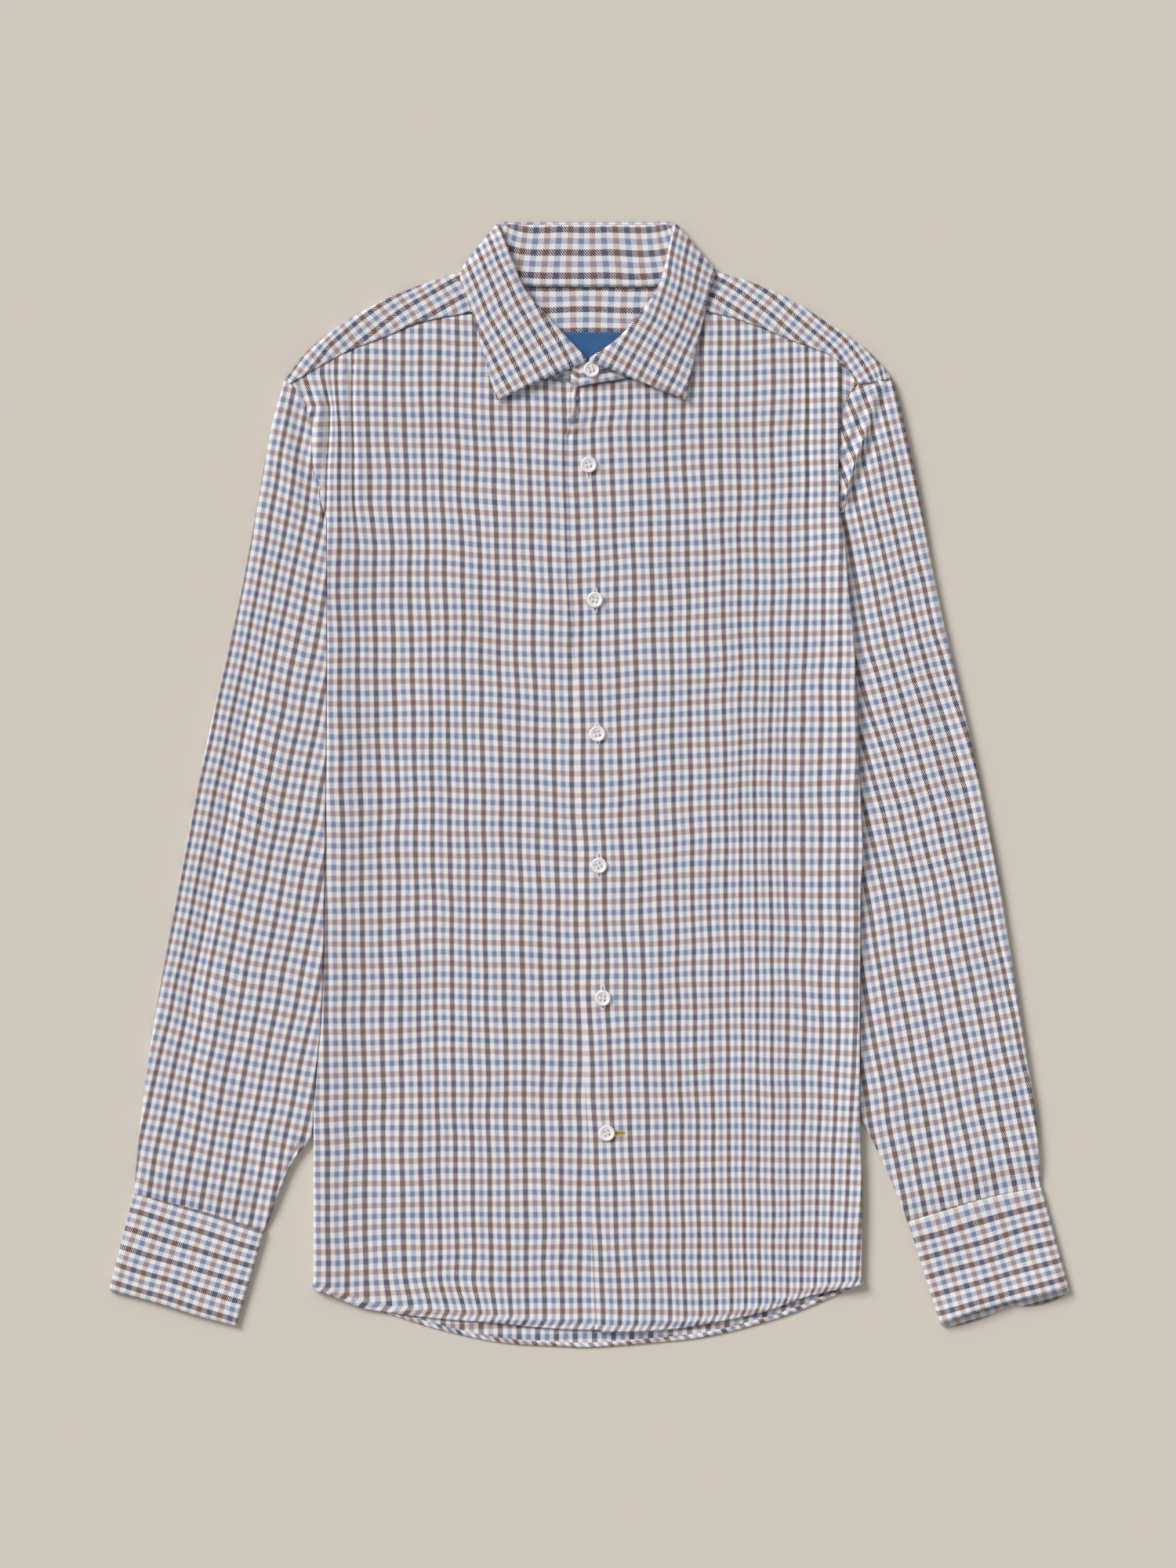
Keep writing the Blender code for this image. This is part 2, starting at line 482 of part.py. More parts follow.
def flat_tube(name, left, right, top, bottom, rows, heights, thickness, creases=(), underlap=0.0, flats=10):
    """A tube pressed flat on the floor: the upper wall from left to right, then the lower wall back again."""
    at = panel(left, right, top, bottom)
    turns = np.radians([0, 32, 62, 90])
    left_radius, right_radius = heights[0] / 2, heights[1] / 2
    points = []
    for v in rows:
        width = np.linalg.norm(left(v) - right(v))
        l_share, r_share = left_radius / width, right_radius / width
        flat = np.linspace(0, 1, flats)[1:-1]
        level = l_share + (1 - l_share - r_share) * flat
        ring = [(l_share * (1 - math.cos(a)), left_radius * (1 + math.sin(a))) for a in turns]
        ring += list(zip(level, heights[0] + (heights[1] - heights[0]) * flat))
        ring += [(1 - r_share * (1 - math.cos(a)), right_radius * (1 + math.sin(a))) for a in turns[::-1]]
        upper = len(ring)
        ring += [(1 - r_share * (1 - math.cos(a)), right_radius * (1 - math.sin(a))) for a in turns[1:]]
        ring += [(share, 0) for share in np.linspace(1, 0, flats)[1:-1]]
        ring += [(l_share * (1 - math.cos(a)), left_radius * (1 - math.sin(a))) for a in turns[:0:-1]]
        depth = (left(1.0) + right(1.0) - left(0.0) - right(0.0)) / 2
        row = []
        for i, (u, z) in enumerate(ring):
            x, y = at(u, v) + depth * underlap * fade(v, 0.5, 1) * math.sin(math.pi * u) * (i >= upper)
            raised = 3 <= i <= upper - 4
            row.append((x, y, z + raised * float(crease(np.float64(x), np.float64(y), creases))))
        points.append(row)
    cloth(name, np.array(points), thickness, closed=True)


def sleeve(wearers, outer, free, cuff_seam, creases):
    line, underarm = body_edge(wearers)
    side = -1 if wearers == "right" else 1
    mouth = moved(stretch(line, 0, underarm), side * ARMHOLE_GAP)
    inner, outer, bottom = inner_fold(wearers, free), curve(outer), curve(cuff_seam)
    rows = np.concatenate([np.linspace(0, 0.12, 6), np.linspace(0.12, 1, 17)[1:]])
    if wearers == "right":
        flat_tube("sleeve_right", outer, inner, mouth, bottom, rows,
                  (SLEEVE_HEIGHT, INNER_SLEEVE_HEIGHT), FLANNEL, creases)
    else:
        flat_tube("sleeve_left", inner, outer, lambda f: mouth(1 - np.asarray(f)), bottom, rows,
                  (INNER_SLEEVE_HEIGHT, SLEEVE_HEIGHT), FLANNEL, creases)


def cuff(name, left, right, seam, hem, underlap):
    top = curve([(x, y - 2 * SEAM_GAP) for x, y in seam])
    flat_tube(name, curve(left), curve(right), top, curve(hem), np.linspace(0, 1, 5),
              (CUFF_HEIGHT, CUFF_HEIGHT), CUFF_CLOTH, underlap=underlap, flats=7)


def button(name, x, y, z, mesh):
    made = bpy.data.objects.new(name, mesh)
    made.location = (x * MM, y * MM, (z + SEAM_GAP) * MM)
    shirt.objects.link(made)


def button_mesh():
    """A four-hole shirt button, turned from its half section, with its holes cut through."""
    section = bmesh.new()
    points = [section.verts.new((r * MM, 0, h * MM)) for r, h in BUTTON_SECTION]
    for a, b in zip(points, points[1:]):
        section.edges.new((a, b))
    mesh = bpy.data.meshes.new("button")
    section.to_mesh(mesh)
    section.free()
    turned = place("button", mesh, "button")
    screw = turned.modifiers.new("Turned", "SCREW")
    screw.steps = screw.render_steps = BUTTON_STEPS
    screw.use_merge_vertices = True
    screw.merge_threshold = 0.00001
    drills = []
    for sx in (-1, 1):
        for sy in (-1, 1):
            bpy.ops.mesh.primitive_cylinder_add(
                vertices=HOLE_SIDES, radius=HOLE_RADIUS * MM, depth=8 * MM,
                location=(sx * HOLE_PLACE * MM, sy * HOLE_PLACE * MM, 0))
            drill = bpy.context.object
            cut = turned.modifiers.new("Hole", "BOOLEAN")
            cut.operation, cut.object = "DIFFERENCE", drill
            drills.append(drill)
    bpy.context.view_layer.update()
    graph = bpy.context.evaluated_depsgraph_get()
    finished = bpy.data.meshes.new_from_object(turned.evaluated_get(graph))
    for unwanted in [turned, *drills]:
        bpy.data.objects.remove(unwanted)
    finished.set_sharp_from_angle(angle=math.radians(35))
    return finished


for leftover in list(bpy.data.objects):
    bpy.data.objects.remove(leftover)
shirt = bpy.data.collections.new("flannel_shirt")
bpy.context.scene.collection.children.link(shirt)

back()
yoke("yoke_right", "right", RIGHT_SHOULDER, RIGHT_YOKE_SEAM)
yoke("yoke_left", "left", LEFT_SHOULDER, LEFT_YOKE_SEAM)
yoke_lining()
neck_label()
front("front_right", "right", RIGHT_YOKE_SEAM, RIGHT_NECKLINE, RIGHT_FRONT_EDGE, RIGHT_FRONT_HEM,
      lambda x: np.full_like(x, UNDER_FRONT_TOP))
front("front_left", "left", LEFT_YOKE_SEAM, LEFT_NECKLINE, LEFT_FRONT_EDGE, LEFT_FRONT_HEM,
      left_flat)
collar()
sleeve("right", RIGHT_SLEEVE_OUTER, RIGHT_SLEEVE_FREE, RIGHT_CUFF_SEAM, RIGHT_SLEEVE_CREASES)
sleeve("left", LEFT_SLEEVE_OUTER, LEFT_SLEEVE_FREE, LEFT_CUFF_SEAM, LEFT_SLEEVE_CREASES)
cuff("cuff_right", RIGHT_CUFF_OUTER, RIGHT_CUFF_INNER, RIGHT_CUFF_SEAM, RIGHT_CUFF_HEM, 0)
cuff("cuff_left", LEFT_CUFF_INNER, LEFT_CUFF_OUTER, LEFT_CUFF_SEAM, LEFT_CUFF_HEM, LEFT_CUFF_UNDERLAP)
turned_button = button_mesh()
for button_name, button_x, button_y, cloth_top in BUTTONS:
    button(button_name, button_x, button_y, cloth_top, turned_button)
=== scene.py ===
"""Looks of a flannel shirt that lies buttoned up on its back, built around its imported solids.

+Y points to the collar, +X to the wearer's left, +Z up. Left and right are the wearer's. Tables are in
millimetres as the cloth lies, and meshes are made in metres.
"""

import math

import bpy
import numpy as np
from mathutils import Matrix


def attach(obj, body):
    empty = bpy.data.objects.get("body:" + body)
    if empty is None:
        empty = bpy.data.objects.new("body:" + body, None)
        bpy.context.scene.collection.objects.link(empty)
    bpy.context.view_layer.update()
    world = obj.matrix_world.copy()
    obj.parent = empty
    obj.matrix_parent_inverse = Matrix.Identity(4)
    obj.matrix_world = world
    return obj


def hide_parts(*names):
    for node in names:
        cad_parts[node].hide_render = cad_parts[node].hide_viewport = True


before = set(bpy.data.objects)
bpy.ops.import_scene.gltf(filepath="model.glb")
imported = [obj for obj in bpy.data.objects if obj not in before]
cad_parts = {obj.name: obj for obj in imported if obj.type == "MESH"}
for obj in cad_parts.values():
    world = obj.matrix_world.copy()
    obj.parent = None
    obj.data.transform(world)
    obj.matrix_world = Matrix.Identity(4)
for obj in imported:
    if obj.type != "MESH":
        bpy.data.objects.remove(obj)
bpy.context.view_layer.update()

# ---------------------------------------------------------------------------------------------------------
# The back. One panel of brushed cotton flannel, yarn-dyed in a small check, from the yoke seam to the
# curved tail. It lies flat on its face, its sides turn up to the side seams, and its tail is a narrow
# rolled hem, sewn once.
# ---------------------------------------------------------------------------------------------------------
MM = 0.001
FLANNEL = 0.9
STRIPE_PITCH, BAND_PITCH = 12.7, 15.0  # of the dark warp stripes and of the brown weft bands
BACK_WIDTH, SEAM_GAP = 380.0, 0.3
EDGE_REACH, EDGE_DEPTH = 1.1, 3.0  # how far in a side fold's round reaches, and how high the back comes
BACK_SEAM_Y = 262.0
UNDERARM_Y = (176, 190)
BACK_HEM_WIDTH, BACK_HEM_TURN, BACK_HEM_ROPING = 3.4, 0.95, 0.22
HEM_SKEW = 0.7  # how far the check runs sideways in the turned hem, for each millimetre round the turn
FOLD_COLUMNS = (0, 0.12, 0.35, 0.7, 1.1, 1.8)  # distances in from a fold at which the cloth's grid is fine
BACK_COLUMN_STEP, BACK_ROWS = 4, 150
BACK_STRIPE_X, BACK_STRIPE_PITCH, BACK_BAND_Y = 3.9, 13.3, -5.6
RIGHT_ARMHOLE = ((-213.4, 283.6), (-208.5, 281), (-202, 272.2), (-197, 259.6), (-194.5, 249.7),
                 (-193.2, 222), (-190, 213), (-187, 194.7), (-183.7, 186))
LEFT_ARMHOLE = ((213, 283.8), (203, 283.1), (194, 282.4), (190, 281.4), (181.6, 272.2), (177, 253),
                (175, 220), (176, 190))
RIGHT_SIDE = ((-183.7, 186), (-183.7, 55), (-185.9, -132), (-190.9, -203.5), (-193.1, -240),
              (-193.1, -354.5))
LEFT_SIDE = ((176, 190), (178.8, 179.3), (182.1, 140.8), (185.4, 107.3), (189, 53.4), (190.3, 3),
             (192.5, -48), (190.9, -85), (190.3, -231), (192, -283), (191.5, -351.3))
BACK_HEM = ((-193.1, -354.5), (-168.3, -364), (-140.2, -372.4), (-105.6, -383), (-62.7, -392.2), (-20, -395),
            (5, -395.5), (60.5, -391), (89.7, -386.7), (122, -378.4), (147.4, -370), (191.5, -351.3))


def smooth(rows, steps):
    """A table's rows joined smoothly, with steps points from each row to the next."""
    rows = np.array(rows, float)
    ends = np.vstack([2 * rows[0] - rows[1], rows, 2 * rows[-1] - rows[-2]])
    t = np.linspace(0, 1, steps, endpoint=False)[:, None]
    made = [b + ((c - a) * t + (2 * a - 5 * b + 4 * c - d) * t**2 + (3 * b - a - 3 * c + d) * t**3) / 2
            for a, b, c, d in zip(ends, ends[1:], ends[2:], ends[3:])]
    return np.vstack([*made, rows[-1:]])


def curve(*stretches):
    """A smooth line through each table of points, joined end to end, read by its fraction of length."""
    dense = np.vstack([*(smooth(rows, 12)[:-1] for rows in stretches), stretches[-1][-1:]])
    along = np.append(0, np.cumsum(np.linalg.norm(np.diff(dense, axis=0), axis=1)))
    return lambda f: np.stack([np.interp(np.asarray(f) * along[-1], along, c) for c in dense.T], -1)


def stretch(line, start, end):
    """Part of a line, between two fractions of its length."""
    return lambda f: line(start + (end - start) * np.asarray(f, float))


def nearest(line, x, y):
    """Fraction of a line's length at which it passes nearest to a point."""
    f = np.linspace(0, 1, 2001)
    return f[np.argmin(np.linalg.norm(line(f) - (x, y), axis=1))]


def reaches(line, y):
    """Fraction of its length at which a line that runs down falls below a height on the plan."""
    f = np.linspace(0, 1, 4001)
    return f[np.argmax(line(f)[:, 1] < y)]


def panel(left, right, top, bottom):
    """Plan points of a panel between its four edges, at u across it and v down it."""
    def at(u, v):
        u, v = np.broadcast_arrays(np.asarray(u, float), np.asarray(v, float))
        across, down = u[..., None], v[..., None]
        upper = top(u) - (1 - across) * top(0.0) - across * top(1.0)
        lower = bottom(u) - (1 - across) * bottom(0.0) - across * bottom(1.0)
        return (1 - across) * left(v) + across * right(v) + (1 - down) * upper + down * lower
    return at


def fade(value, start, end):
    """0 at start, 1 at end, smooth between them."""
    t = np.clip((value - start) / (end - start), 0, 1)
    return t * t * (3 - 2 * t)


def body_edge(wearers):
    """Armhole and side of half the body, from the shoulder to the hem, and the fraction at the underarm."""
    armhole, side = (RIGHT_ARMHOLE, RIGHT_SIDE) if wearers == "right" else (LEFT_ARMHOLE, LEFT_SIDE)
    line = curve(armhole, side)
    return line, nearest(line, *side[0])


def rounded_edge(distance):
    """Share of its drop that a folded edge has made at a distance in from it: a quarter of an oval."""
    inside = np.clip(1 - distance / EDGE_REACH, 0, 1)
    return 1 - np.sqrt(1 - inside**2)


def ripple(x, y):
    """Soft unevenness of cloth that has been laid down by hand, as a height from about -1 to 1.

    Each wave has its closeness along x and along y, and where it starts.
    """
    waves = ((0.061, 0.019, 0.4), (-0.034, 0.083, 1.9), (0.113, -0.047, 3.1), (0.021, -0.142, 5.0),
             (0.158, 0.064, 2.2), (-0.102, -0.126, 0.9))
    return sum(np.sin(a * x + b * y + c + 0.8 * np.sin(b * x - a * y)) for a, b, c in waves) / 3.6


def counted(where, along, lines, numbers):
    """Number of the stripe at a place across the stripes, from a table of where some of them lie.

    Each row of lines is a place along the stripes, and then where each numbered stripe crosses it.
    """
    table = np.array(sorted(lines), float)
    places = np.stack([np.interp(along, table[:, 0], column) for column in table[:, 1:].T], -1)
    numbers = np.array(numbers, float)
    k = np.clip((places <= where[..., None]).sum(-1) - 1, 0, len(numbers) - 2)
    low = np.take_along_axis(places, k[..., None], -1)[..., 0]
    high = np.take_along_axis(places, k[..., None] + 1, -1)[..., 0]
    return numbers[k] + (numbers[k + 1] - numbers[k]) * (where - low) / (high - low)


def add_node(tree, kind, inputs, settings):
    """A node with its settings made, and with each given input linked or set."""
    added = tree.nodes.new(kind)
    for key, value in settings.items():
        setattr(added, key, value)
    for key, value in dict(inputs).items():
        if isinstance(value, bpy.types.NodeSocket):
            tree.links.new(value, added.inputs[key])
        else:
            added.inputs[key].default_value = value
    return added


def new_material(name, **sockets):
    """A material with its shader's uniform values set, and two short ways to add nodes and links to it."""
    made = bpy.data.materials.new(name)
    made.use_nodes = True
    shader = made.node_tree.nodes["Principled BSDF"]
    for socket, value in sockets.items():
        shader.inputs[socket.replace("_", " ")].default_value = value

    def node(kind, inputs=(), **settings):
        return add_node(made.node_tree, "ShaderNode" + kind, inputs, settings)

    def math_of(operation, *values):
        return node("Math", enumerate(values), operation=operation).outputs[0]

    return made, shader, node, math_of


def linear(*screen):
    """Linear colour of three screen values from 0 to 255."""
    return tuple(((c / 255 + 0.055) / 1.055) ** 2.4 if c > 10 else c / 3294 for c in screen) + (1.0,)


# Colours of the warp's floats (cream, pale blue, dark), and under each of the weft's (cream, brown, blue).
CREAM_FLOATS = linear(231, 228, 227)
CREAM_WEFT = linear(220, 217, 216), linear(160, 121, 102), linear(124, 143, 172)
PALE_FLOATS = linear(122, 130, 165)
PALE_WEFT = linear(222, 219, 218), linear(172, 138, 122), linear(124, 138, 162)
DARK_FLOATS = linear(50, 37, 46)
DARK_WEFT = linear(224, 215, 222), linear(176, 140, 132), linear(126, 134, 168)
DARK_HALF, PALE_HALF, BAND_HALF = 1.78, 1.58, 1.85
YARN_BLUR = 0.22
TWILL_PITCH = 1.65
FLOAT_EDGES, DARK_FLOAT_EDGES = (0.1, 0.4), (0.09, 0.29)  # where a float rises, in pitches of the twill
NAP_LEAVES = 0.58  # how much of the twill's contrast shows through the brushed nap
YARN_DRIFT, DRIFT_SCALE = 0.5, 0.55  # how far the yarns wander, and how closely
FUZZ_SCALE, FUZZ_SHADE, FUZZ_DEPTH = 1.3, 0.2, 0.12  # of the nap: closeness, contrast and depth
CHECK_WANDER, WANDER_CLOSENESS = 0.045, 0.7  # how far the check wanders, in pitches, and how closely


def flannel_material():
    made, shader, node, math_of = new_material(
        "flannel_check", Roughness=0.92, Specular_IOR_Level=0.18, Sheen_Weight=0.22, Sheen_Roughness=0.45)
    place = node("UVMap", uv_map="cloth").outputs[0]
    grown = node("VectorMath", {0: place, 1: (1 / MM,) * 3}, operation="MULTIPLY").outputs[0]
    uneven = node("TexNoise", {"Vector": grown, "Scale": DRIFT_SCALE, "Detail": 2.0}).outputs["Color"]
    shift = node("VectorMath", {0: uneven, 1: (0.5, 0.5, 0.5)}, operation="SUBTRACT").outputs[0]
    shift = node("VectorMath", {0: shift, "Scale": YARN_DRIFT}, operation="SCALE").outputs[0]
    place = node("VectorMath", {0: grown, 1: shift}, operation="ADD").outputs[0]
    split = node("SeparateXYZ", {0: place})
    across, along = split.outputs[0], split.outputs[1]

    def off_line(value, pitch):
        turned = math_of("FRACT", math_of("ADD", math_of("DIVIDE", value, pitch), 0.5))
        return math_of("MULTIPLY", math_of("ABSOLUTE", math_of("SUBTRACT", turned, 0.5)), pitch)

    def soft_step(value, start, end):
        return node("MapRange", {"Value": value, "From Min": start, "From Max": end},
                    interpolation_type="SMOOTHSTEP").outputs[0]

    def mixed(share, low, high):
        return node("Mix", {0: share, 6: low, 7: high}, data_type="RGBA").outputs[2]

    stripe = off_line(across, STRIPE_PITCH)
    band = off_line(along, BAND_PITCH)
    pale_from, blue_from = STRIPE_PITCH / 2 - PALE_HALF, BAND_PITCH / 2 - BAND_HALF
    dark = soft_step(stripe, DARK_HALF + YARN_BLUR, DARK_HALF - YARN_BLUR)
    pale = soft_step(stripe, pale_from - YARN_BLUR, pale_from + YARN_BLUR)
    brown = soft_step(band, BAND_HALF + YARN_BLUR, BAND_HALF - YARN_BLUR)
    blue = soft_step(band, blue_from - YARN_BLUR, blue_from + YARN_BLUR)
    twill = off_line(math_of("SUBTRACT", across, along), TWILL_PITCH)
    float_up = soft_step(twill, *(TWILL_PITCH * edge for edge in FLOAT_EDGES))
    float_up = math_of("ADD", math_of("MULTIPLY", float_up, NAP_LEAVES), (1 - NAP_LEAVES) / 2)
    dark_up = soft_step(twill, *(TWILL_PITCH * edge for edge in DARK_FLOAT_EDGES))

    def crossed(warp, weft, up):
        return mixed(up, mixed(blue, mixed(brown, weft[0], weft[1]), weft[2]), warp)

    cream_part = crossed(CREAM_FLOATS, CREAM_WEFT, float_up)
    pale_part = crossed(PALE_FLOATS, PALE_WEFT, float_up)
    dark_part = crossed(DARK_FLOATS, DARK_WEFT, dark_up)
    color = mixed(dark, mixed(pale, cream_part, pale_part), dark_part)
    fuzz = node("TexNoise", {
        "Vector": grown, "Scale": FUZZ_SCALE, "Detail": 3.0, "Roughness": 0.7}).outputs[0]
    shade = math_of("ADD", 1 - FUZZ_SHADE / 2, math_of("MULTIPLY", fuzz, FUZZ_SHADE))
    color = node("VectorMath", {0: color, "Scale": shade}, operation="SCALE").outputs[0]
    made.node_tree.links.new(color, shader.inputs["Base Color"])
    height = math_of("ADD", math_of("MULTIPLY", float_up, 0.5), fuzz)
    bump = node("Bump", {"Height": height, "Distance": FUZZ_DEPTH * MM, "Strength": 0.6})
    made.node_tree.links.new(bump.outputs[0], shader.inputs["Normal"])
    return made


flannel = flannel_material()


def cloth(name, points, check, thickness, closed=False, under=False, offset=-1, skip=None, finish=flannel):
    """A cloth piece on a grid of points, rows by columns, with its check's numbers at each of them.

    closed joins the last column to the first, and then check has one column more. under turns the outer
    side down, and skip(row, column) is true for a face that is left out.
    """
    rows, columns = points.shape[:2]
    r, c = np.meshgrid(np.arange(rows - 1), np.arange(columns if closed else columns - 1), indexing="ij")
    if skip is not None:
        keep = ~skip(r, c)
        r, c = r[keep], c[keep]
    r, c = r.ravel(), c.ravel()
    x, y = points[..., 0] * WANDER_CLOSENESS, points[..., 1] * WANDER_CLOSENESS
    wander = CHECK_WANDER * np.dstack([ripple(x, y), ripple(y, -x)])
    check = check + (np.concatenate([wander, wander[:, :1]], 1) if closed else wander)
    corners = [(r, c), (r + 1, c), (r + 1, c + 1), (r, c + 1)]
    if under:
        corners = corners[::-1]
    faces = np.stack([row * columns + column % columns for row, column in corners], -1)
    places = np.stack([check[row, column] for row, column in corners], 1)
    places = places * (STRIPE_PITCH * MM, BAND_PITCH * MM)
    used, faces = np.unique(faces, return_inverse=True)
    mesh = bpy.data.meshes.new(name)
    mesh.from_pydata((points.reshape(-1, 3)[used] * MM).tolist(), [], faces.reshape(-1, 4).tolist())
    layer = mesh.uv_layers.new(name="cloth")
    layer.data.foreach_set("uv", places.reshape(-1))
    mesh.shade_smooth()
    mesh.materials.append(finish)
    piece = bpy.data.objects.new(name, mesh)
    bpy.context.scene.collection.objects.link(piece)
    wall = piece.modifiers.new("Cloth", "SOLIDIFY")
    wall.thickness = thickness * MM
    wall.offset = offset
    wall.use_even_offset = False
    return piece


def spaced(length, step, near=()):
    """Fractions from 0 to 1, about a step apart over a length, with more of them near its start."""
    even = np.linspace(0, 1, max(2, round(length / step) + 1))
    extra = np.array(near, float) / length
    return np.unique(np.concatenate([even[even > (extra.max() if len(near) else -1)], extra]))


def turned_hem(points, check):
    """The grid and its check with rows added, where the cloth turns up at the hem and lies on itself."""
    edge, inward = points[-1], points[-4] - points[-1]
    inward[:, 2] = 0
    inward /= np.linalg.norm(inward, axis=1)[:, None]
    roping = BACK_HEM_ROPING * np.sin(0.95 * edge[:, :1] + 1.5 * np.sin(0.13 * edge[:, :1]))
    up = np.array([0, 0, 1.0])
    rows = [edge + inward * BACK_HEM_TURN]
    for turn in np.radians([-60, -30, 0, 30, 60, 90]):
        rows.append(edge + BACK_HEM_TURN * (inward * (1 - math.cos(turn)) + up * (1 + math.sin(turn))))
    for reach in (0.6 * BACK_HEM_WIDTH, BACK_HEM_WIDTH):
        rows.append(edge + inward * reach + up * (2 * BACK_HEM_TURN + roping))
    past = np.cumsum([0, *np.linalg.norm(np.diff(rows, axis=0), axis=2).mean(1)])[:, None] - BACK_HEM_TURN
    more = np.dstack([check[-1, :, 0] + HEM_SKEW * past / STRIPE_PITCH, check[-1, :, 1] - past / BAND_PITCH])
    return np.concatenate([points[:-1], rows]), np.concatenate([check[:-1], more])


back_sides = []
for wearers in ("right", "left"):
    line, underarm = body_edge(wearers)
    back_sides.append(stretch(line, reaches(line, BACK_SEAM_Y), 1))
back_plan = panel(*back_sides, curve((back_sides[0](0.0), back_sides[1](0.0))), curve(BACK_HEM))
half = spaced(BACK_WIDTH, BACK_COLUMN_STEP, (*FOLD_COLUMNS, 3))
across = np.concatenate([half[half < 0.5], 1 - half[half < 0.5][::-1]])
plan = back_plan(across[None], np.linspace(0, 1, BACK_ROWS)[:, None])
x, y = plan[..., 0], plan[..., 1]
from_side = np.minimum(across, 1 - across)[None] * BACK_WIDTH
back_points = np.dstack([plan, EDGE_DEPTH * rounded_edge(from_side) * (1 - fade(y, *UNDERARM_Y))])
back_check = np.dstack([(x - BACK_STRIPE_X) / BACK_STRIPE_PITCH, (y - BACK_BAND_Y) / BAND_PITCH])
back_points, back_check = turned_hem(back_points, back_check)
back = cloth("back_cloth", back_points, back_check, FLANNEL, under=True)
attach(back, "root")
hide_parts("back")

# ---------------------------------------------------------------------------------------------------------
# The outer yoke, cut in two halves that meet at the centre back. Each half lies flat behind the neck, folds
# over its shoulder and ends at the front yoke seam, edge-stitched there.
# ---------------------------------------------------------------------------------------------------------
NECK_HEIGHT, SHOULDER_HEIGHT = 4.2, 6.0
SIDE_HEIGHT, SIDE_SPREAD = 6.4, 24.0
UNDER_FRONT_TOP, OVER_FRONT_TOP, LAPS_AT = 2.7, 4.1, -18
PAST_LAP, PAST_LAP_X = 0.9, (35, 75)  # how far the left front sinks past the right one's edge, and where
YOKE_LAYERS, YOKE_FOOT_Y = 1.2, (238, 262)
RIGHT_SHOULDER = ((-85, 361.2), (-121, 349.2), (-142, 340.5), (-163, 329.5), (-184, 315), (-200, 301),
                  (-213.4, 283.6))
LEFT_SHOULDER = ((85, 360.4), (103, 356), (124.5, 348.2), (145, 338.2), (166, 325), (187, 311.3),
                 (203, 297), (213, 283.8))
RIGHT_YOKE_SEAM = ((-72, 333.3), (-99.5, 329), (-115.5, 326.2), (-127, 322.3), (-146, 314.6), (-164, 308),
                   (-181, 299.8), (-208.5, 284.2))
LEFT_YOKE_SEAM = ((71, 333.9), (95.5, 329.5), (121, 321.2), (145, 311.3), (166, 303.6), (179, 294.5),
                  (190, 282.1))
BACK_NECKLINE = ((-85, 361.2), (-76, 357.5), (-55, 352.5), (0, 350.4), (55, 352.5), (76, 357.2), (85, 360.4))
NECK_RIBS, SHOULDER_RIBS = 24, 66
BEHIND_ROWS, TURN_ROWS, OVER_ROWS = 16, 12, 16
BEHIND_ENDS = 0.2  # share of the part behind that is left to the shoulder's fold
YOKE_LAP, YOKE_RAISED, YOKE_STITCH_IN = 0.8, 0.45, 1.5
YOKE_PUCKER, YOKE_PUCKER_REACH = 0.3, 7
# Numbers of the yokes' dark stripes, then rows: how far out along the shoulder fold, and where each stripe
# lies in from the fold. The bands' rows are turned: how far in, and where each band lies along the fold.
YOKE_STRIPES = {
    "right": ((0, 1, 2, 3), (
        (10, -20, -8, 4.5, 17.2), (35, -12, 0.2, 8.9, 22), (58, -10, 1.4, 12.4, 25),
        (80, -7, 3.9, 16.7, 29), (97, -4, 5.7, 17.6, 30), (112, -0.7, 6.6, 19, 31.5), (127, 0, 10.3, 22, 34),
        (150, 0.5, 10.8, 22.5, 34))),
    "left": ((0, 1, 2, 3, 4), (
        (5, -32, -20, -8, 4.4, 17), (19, -28, -16, -4, 8, 20.7), (34, -22, -10.5, 1.1, 11.7, 23.6),
        (48, -19.5, -8, 3.5, 14.8, 26), (64, -15, -4, 7.5, 18.2, 30), (80, -11, 0, 9.8, 21, 32),
        (95, -9, 2.7, 12.2, 24, 36), (108, -5, 4.3, 14.8, 27, 39), (122, -0.7, 7.5, 18.7, 31, 43),
        (136, 1, 10.6, 22, 34, 46), (150, 6.2, 12.6, 24, 36, 48))),
}
YOKE_BANDS = {
    "right": ((0, -1, -2, -3, -4, -5, -6, -7, -8), (
        (2, 22.5, 36.5, 51.5, 67, 82, 97.3, 111.5, 127, 141.6),
        (18, 17.5, 32.2, 47.3, 63, 79, 96.5, 111, 126, 141))),
    "left": ((0, 1, 2, 3, 4, 5, 6, 7, 8, 9), (
        (2, 20, 34.5, 49.5, 65.5, 80.5, 95, 109.5, 123.5, 137, 151),
        (20, 12, 28, 44, 62, 78, 92, 105, 119.5, 134, 148))),
}


def moved(line, distance):
    """A line moved sideways, to its left as it runs."""
    f = np.linspace(0, 1, 121)
    points = line(f)
    along = np.gradient(points, axis=0)
    along /= np.linalg.norm(along, axis=1)[:, None]
    points = points + distance * np.stack([-along[:, 1], along[:, 0]], 1)
    return lambda g: np.stack([np.interp(g, f, c) for c in points.T], -1)


def turned(x, y, degrees, from_x, from_y):
    """A plan point as the place across, to the right, and the place along a direction."""
    a = math.radians(degrees)
    along = (x - from_x) * math.cos(a) + (y - from_y) * math.sin(a)
    across = (x - from_x) * math.sin(a) - (y - from_y) * math.cos(a)
    return across, along


